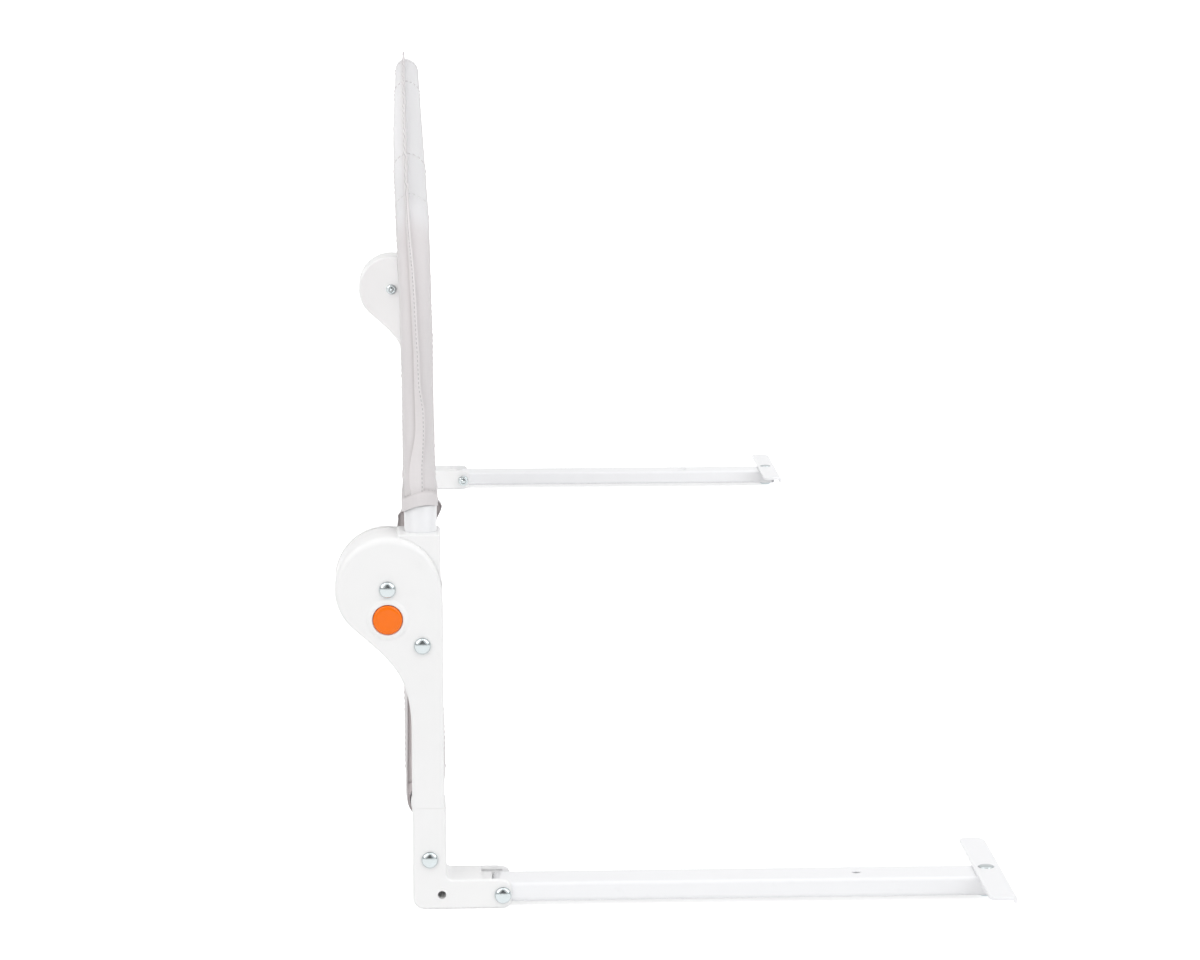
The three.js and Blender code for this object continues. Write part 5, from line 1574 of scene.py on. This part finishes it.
def fin_piece(name, height):
    """The folded edge seam that stands out of the sleeve, leans towards the bed down the legs and lies flat
    at the hem."""
    x, z, outward = frame_line()
    leg = np.linspace(TOP_Z - BEND, 54.0, 40)[1:]
    x = np.array([*np.full(len(leg), LEG_X), *x, *np.full(len(leg), -LEG_X)])
    z = np.array([*leg[::-1], *z, *leg])
    outward = np.array([*np.zeros(len(leg)), *outward, *np.full(len(leg), math.pi)])
    length = np.concatenate([[0], np.cumsum(np.hypot(np.diff(x), np.diff(z)))])
    root, flat, low = seam_root(outward, z), pressed(z), eased((122 - z) / 22)
    ripple, uneven = waves(length, length * 0, 31, 60.0, 7), waves(length, length * 0, 32, 25.0, 5)
    tilt = np.radians((26.0 + 22.0 * low) * (1 - eased(np.sin(outward))) + 7.0 * ripple)
    tall = height * (1 + 0.25 * np.sin(outward) + 0.15 * low + 0.2 * flat + 0.03 * uneven)
    tucked = 1.5 * eased((59.5 - z) / 4.0)
    away = np.column_stack([np.cos(outward), np.zeros(len(x)), np.sin(outward)])
    bedside = np.array([0.0, 1.0, 0.0])
    middle = tube_line(x, z)
    foot = sleeve_point(x, z, outward, root)[0] - middle

    def turned(angle):
        """Directions at an angle from outwards towards the bed side."""
        return np.cos(angle)[:, None] * away + np.sin(angle)[:, None] * bedside

    def placed(up, across):
        """Points a share of the way up the seam and a distance to its bed side, for every station."""
        start = foot - 0.25 * turned(root)
        thick = across * (1 + 0.8 * (1 - up) * np.sin(outward) ** 2)
        upright = start + turned(tilt) * (tall * up)[:, None] + turned(tilt + math.pi / 2) * thick[:, None]
        lying = turned(root + tall * up / (SLEEVE + 1.0)) * (SLEEVE + 0.95 - across - tucked)[:, None]
        return middle + upright * (1 - flat)[:, None] + lying * flat[:, None]

    profile = [(0, -0.75), (0.35, -0.62), (0.8, -0.6), (0.96, -0.5), (1.0, -0.2), (1.0, 0.2), (0.96, 0.5),
               (0.8, 0.6), (0.35, 0.62), (0, 0.75)]
    rings = np.stack([placed(up, across) for up, across in profile], 1)
    points, faces = loft(list(rings))
    made = new_piece(name, from_middle(points), faces)
    layer = made.data.uv_layers.new(name="cloth")
    rise = np.array([up for up, _ in profile]) * height + 300.0
    places = np.stack(np.broadcast_arrays(length[:, None], rise), -1).reshape(-1, 2)
    corners = np.array([loop.vertex_index for loop in made.data.loops])
    layer.uv.foreach_set("vector", (places[corners] * MM).ravel())
    soft_shaded(made, 50, weighted=False)
    return made, from_middle(placed(0.9, -0.62))


def seam_line(u):
    """A seam's stitches up one panel, over the sleeve and down the other, a little outside the cloth."""
    lift, heights = 0.34, np.linspace(CROSSBAR[1], TOP_Z, 90)[:-1]
    up = on_panel(np.full(len(heights), u), heights, False, lift)
    down = on_panel(np.full(len(heights), u), heights[::-1], True, lift)
    over = off_sleeve(u, TOP_Z, math.pi / 2, np.radians(np.linspace(-90, 90, 25)), lift)
    return from_middle(np.vstack([up, over, down]))


def cover_lines():
    """The pale stitch lines: along the seams and on both edges of the windows' tapes."""
    lines = [seam_line(sign * at) for at in SEAM_STITCHES for sign in (1, -1)]
    for sign, back in PANELS:
        for margin in (-TAPE_STITCH, TAPE_STITCH):
            u, v = window_loop(sign, margin).T
            lines.append(from_middle(on_panel(u, v, back, 0.95)))
    return lines


def hem_lines():
    """The stitch lines over both hems."""
    hem = hem_line((1 + np.sin(SLEEVE_TURNS)) / 2) + HEM_BAND
    ends = ((LEG_X, 0.0), (-LEG_X, math.pi))
    return [from_middle(off_sleeve(x, hem, outward, SLEEVE_TURNS, 0.3)) for x, outward in ends]


class RAIL_OT_cover(bpy.types.Operator):
    """Sews the fabric cover over the rail frame and round the crossbar"""

    bl_idname = "guard_rail.cover"
    bl_label = "Fabric cover"

    def execute(self, context):
        finishes(context)
        sizes, paints = context.scene.guard_rail_sizes, bpy.data.materials
        tree = tree_called("top_stitching", stitch_tree)
        sewn = {"Pitch": sizes.stitch_length, "Thread": 0.00032, "Material": paints["sewing_thread"]}
        # Stitches in the darker thread, whose colour is partly painted shade.
        dark = {"Pitch": 0.0026, "Thread": 0.0003, "Material": paints["dark_thread"]}
        bending = ("legs", "rail", HINGE - Vector((0, 0, 0.045)), HINGE + Vector((0, 0, 0.04)))

        cover, area = cover_patches().piece("fabric_cover", CLOTH, lambda u, v: ~in_window(u, v, 1.0))
        net, net_area = window_nets()
        tape = window_tapes()
        fin, edge = fin_piece("edge_seam", sizes.fin_height / MM)
        seams = grown("cover_stitches", poly_curves("seam_lines", cover_lines()), tree, sewn)
        sleeve = grown("sleeve_stitches", poly_curves("hem_lines", [edge, *hem_lines()]), tree, dark)
        side_walls, _ = gussets().piece("side_gussets", LINING)

        dressed(side_walls, "lining_cloth", bending, "grey_fabric")
        dressed(cover, "woven_cover", bending, "grey_fabric", "cover_upper", "cover_lower")
        dressed(net, "window_net", bending, "grey_fabric")
        dressed(tape, "binding_tape", bending, "grey_fabric")
        dressed(fin, "seam_cloth", "rail", "grey_fabric")
        dressed(seams, "sewing_thread", bending, "grey_fabric")
        dressed(sleeve, "dark_thread", "rail", "grey_fabric")
        return {"FINISHED"}


class RAIL_OT_inner_parts(bpy.types.Operator):
    """Finishes the pieces inside the hubs, arms and tubes"""

    bl_idname = "guard_rail.inner_parts"
    bl_label = "Inner parts"

    def execute(self, context):
        finishes(context)
        for node in ("rail_connector", "crossbar_connector"):
            paints = frame["nodes"][node].data.materials
            paints.clear()
            paints.append(bpy.data.materials["coated_steel"])
        for name, _ in SIDES:
            button = f"{name}_button"
            for node, body in (("lock_pin", button), ("button_spring", button), ("tube_screw", "rail")):
                polished(f"{name}_inner_{node}", f"{name}_{node}", "zinc_plate", body, "zinc_steel")
            polished(f"{name}_inner_upright", f"{name}_upright_tube", "coated_steel", "legs", "white_steel")
        return {"FINISHED"}


# Studio


FLOOR_HALF, FLOOR_DROP = 30.0, 0.0005
LENS, SENSOR = 120.0, 36.0
OUTER_FACE = Vector((HALF * MM, HINGE.y, HINGE.z))
CAMERA = OUTER_FACE + Vector((2.2985, 0.01005, 0.456))
CAMERA_RIGHT, CAMERA_UP = Vector((0.04972, 0.99876, 0.0)), Vector((-0.16763, 0.00835, 0.98582))


def room_light():
    """A white room for the camera. Glossy faces see darker walls, a bright patch overhead and soft boxes."""
    sky = Finish("studio", "worlds", "Generated")
    towards, across, height = sky.parts()
    across = across.maths("ABSOLUTE")
    room = height.above(0.05, 0.03) * towards.above(0.1, 0.08)
    patch = height.above(0.8, 0.03) * towards.above(0.12, 0.05) * (0.12 - across).above(0.0, 0.04)
    aside = (across / towards).above(0.95, 0.12)
    boxes = (towards - 0.15).above(0.0, 0.03) * height.above(0.32, 0.06) * aside
    gloss = 1.0 - room * 0.84 + patch * 1.2 + boxes * 4.0
    diffuse, glossy, seen = [
        sky.node("ShaderNodeBackground", None, {"Color": (1, 1, 1, 1), "Strength": strength})
        for strength in (0.5, gloss, 1.0)
    ]
    ray = {key: sky.node("ShaderNodeLightPath", out=f"Is {key} Ray") for key in ("Glossy", "Camera")}
    lit = sky.node("ShaderNodeMixShader", None, {0: ray["Glossy"], 1: diffuse, 2: glossy})
    sky.finish_with(sky.node("ShaderNodeMixShader", None, {0: ray["Camera"], 1: lit, 2: seen}), "World")
    return sky.material


def paper_floor():
    """A wide white floor, lit from within for the camera so that it has no edge."""
    corners = [(x * FLOOR_HALF, y * FLOOR_HALF, 0) for x, y in ((-1, -1), (1, -1), (1, 1), (-1, 1))]
    floor = new_piece("floor", corners, [(0, 1, 2, 3)], False)
    floor.location.z = -FLOOR_DROP
    paint = Finish("floor_paper")
    lit = paint.node("ShaderNodeBsdfDiffuse", None, {"Color": (0.9, 0.9, 0.9, 1)})
    glow = paint.node("ShaderNodeEmission", None, {"Color": (1, 1, 1, 1), "Strength": 0.68})
    both = paint.node("ShaderNodeAddShader", None, {0: lit, 1: glow})
    for_camera, for_gloss = (
        paint.node("ShaderNodeLightPath", out=f"Is {key} Ray") for key in ("Camera", "Glossy")
    )
    factor = for_camera.maths("MAXIMUM", for_gloss)
    paint.finish_with(paint.node("ShaderNodeMixShader", None, {0: factor, 1: lit, 2: both}))
    floor.data.materials.append(paint.material)
    return floor


def lamp(label, kind, energy, source, place=(0, 0, 0), **looks):
    """Adds a lamp that shines from the direction of its source."""
    light = bpy.data.lights.new(label, kind)
    light.energy = energy
    for key, value in looks.items():
        setattr(light, key, value)
    holder = in_scene(label, light)
    holder.location = place
    holder.rotation_mode = "QUATERNION"
    holder.rotation_quaternion = Vector(source).to_track_quat("Z", "Y")


class RAIL_OT_studio(bpy.types.Operator):
    """Sets the floor, the soft lights and the camera"""

    bl_idname = "guard_rail.studio"
    bl_label = "Studio"

    def execute(self, context):
        context.scene.world = room_light()
        floor = paper_floor()
        for label, source, energy, spread, gloss, tint in (
            ("left_window", (0.6, -0.6, 0.53), 0.62, 55.0, 0.15, (1.0, 0.985, 0.975)),
            ("right_window", (0.6, 0.62, 0.5), 0.6, 55.0, 0.15, (0.975, 0.99, 1.0)),
            ("ceiling", (0.1, 0.0, 1.0), 1.0, 80.0, 0.35, (1.0, 1.0, 1.0)),
        ):
            spread = math.radians(spread)
            lamp(label, "SUN", energy, source, angle=spread, specular_factor=gloss, color=tint)
        cone = {"spot_size": math.radians(11.0), "spot_blend": 1.0, "shadow_soft_size": 0.15}
        for label, place, aim, energy in (
            ("left_fill", (2.5, -0.95, 0.6), (-0.71, 0.0, 0.2), 85.0),
            ("right_fill", (2.5, 1.15, 0.5), (-0.71, 0.12, 0.04), 35.0),
        ):
            lamp(label, "SPOT", energy, Vector(place) - Vector(aim), place, specular_factor=0.2, **cone)

        lens = bpy.data.cameras.new("view")
        lens.lens, lens.sensor_width = LENS, SENSOR
        lens.clip_start, lens.clip_end = 0.1, 100.0
        camera = in_scene("view", lens)
        turn = Matrix((CAMERA_RIGHT, CAMERA_UP, CAMERA_RIGHT.cross(CAMERA_UP))).transposed().to_4x4()
        camera.matrix_world = Matrix.Translation(CAMERA) @ turn
        context.scene.camera = camera
        context.scene.view_settings.view_transform = "Standard"
        return {"FINISHED"}


class RAIL_PT_sidebar(bpy.types.Panel):
    """Lists the guard rail's pieces"""

    bl_idname = "RAIL_PT_sidebar"
    bl_label = "Guard Rail"
    bl_space_type = "VIEW_3D"
    bl_region_type = "UI"
    bl_category = "Guard Rail"

    def draw(self, context):
        for group in (context.scene.guard_rail_sizes, context.scene.guard_rail_colours):
            box = self.layout.box()
            for name in group.bl_rna.properties.keys():
                if name not in ("rna_type", "name"):
                    box.prop(group, name)
        for operator in OPERATORS:
            self.layout.operator(operator.bl_idname)


OPERATORS = (
    RAIL_OT_hub_shells, RAIL_OT_buttons, RAIL_OT_elbows, RAIL_OT_supports, RAIL_OT_tubes,
    RAIL_OT_fasteners, RAIL_OT_cover, RAIL_OT_inner_parts, RAIL_OT_studio,
)
CLASSES = (GuardRailSizes, GuardRailColours, *OPERATORS, RAIL_PT_sidebar)


def register():
    """Adds the classes, and the sizes and colours to the scene."""
    for made in CLASSES:
        bpy.utils.register_class(made)
    bpy.types.Scene.guard_rail_sizes = PointerProperty(type=GuardRailSizes)
    bpy.types.Scene.guard_rail_colours = PointerProperty(type=GuardRailColours)


def unregister():
    """Takes away what register adds."""
    del bpy.types.Scene.guard_rail_colours
    del bpy.types.Scene.guard_rail_sizes
    for made in reversed(CLASSES):
        bpy.utils.unregister_class(made)


def main():
    """Builds everything in order."""
    register()
    for operator in OPERATORS:
        group, name = operator.bl_idname.split(".")
        getattr(getattr(bpy.ops, group), name)()


if __name__ == "__main__":
    main()
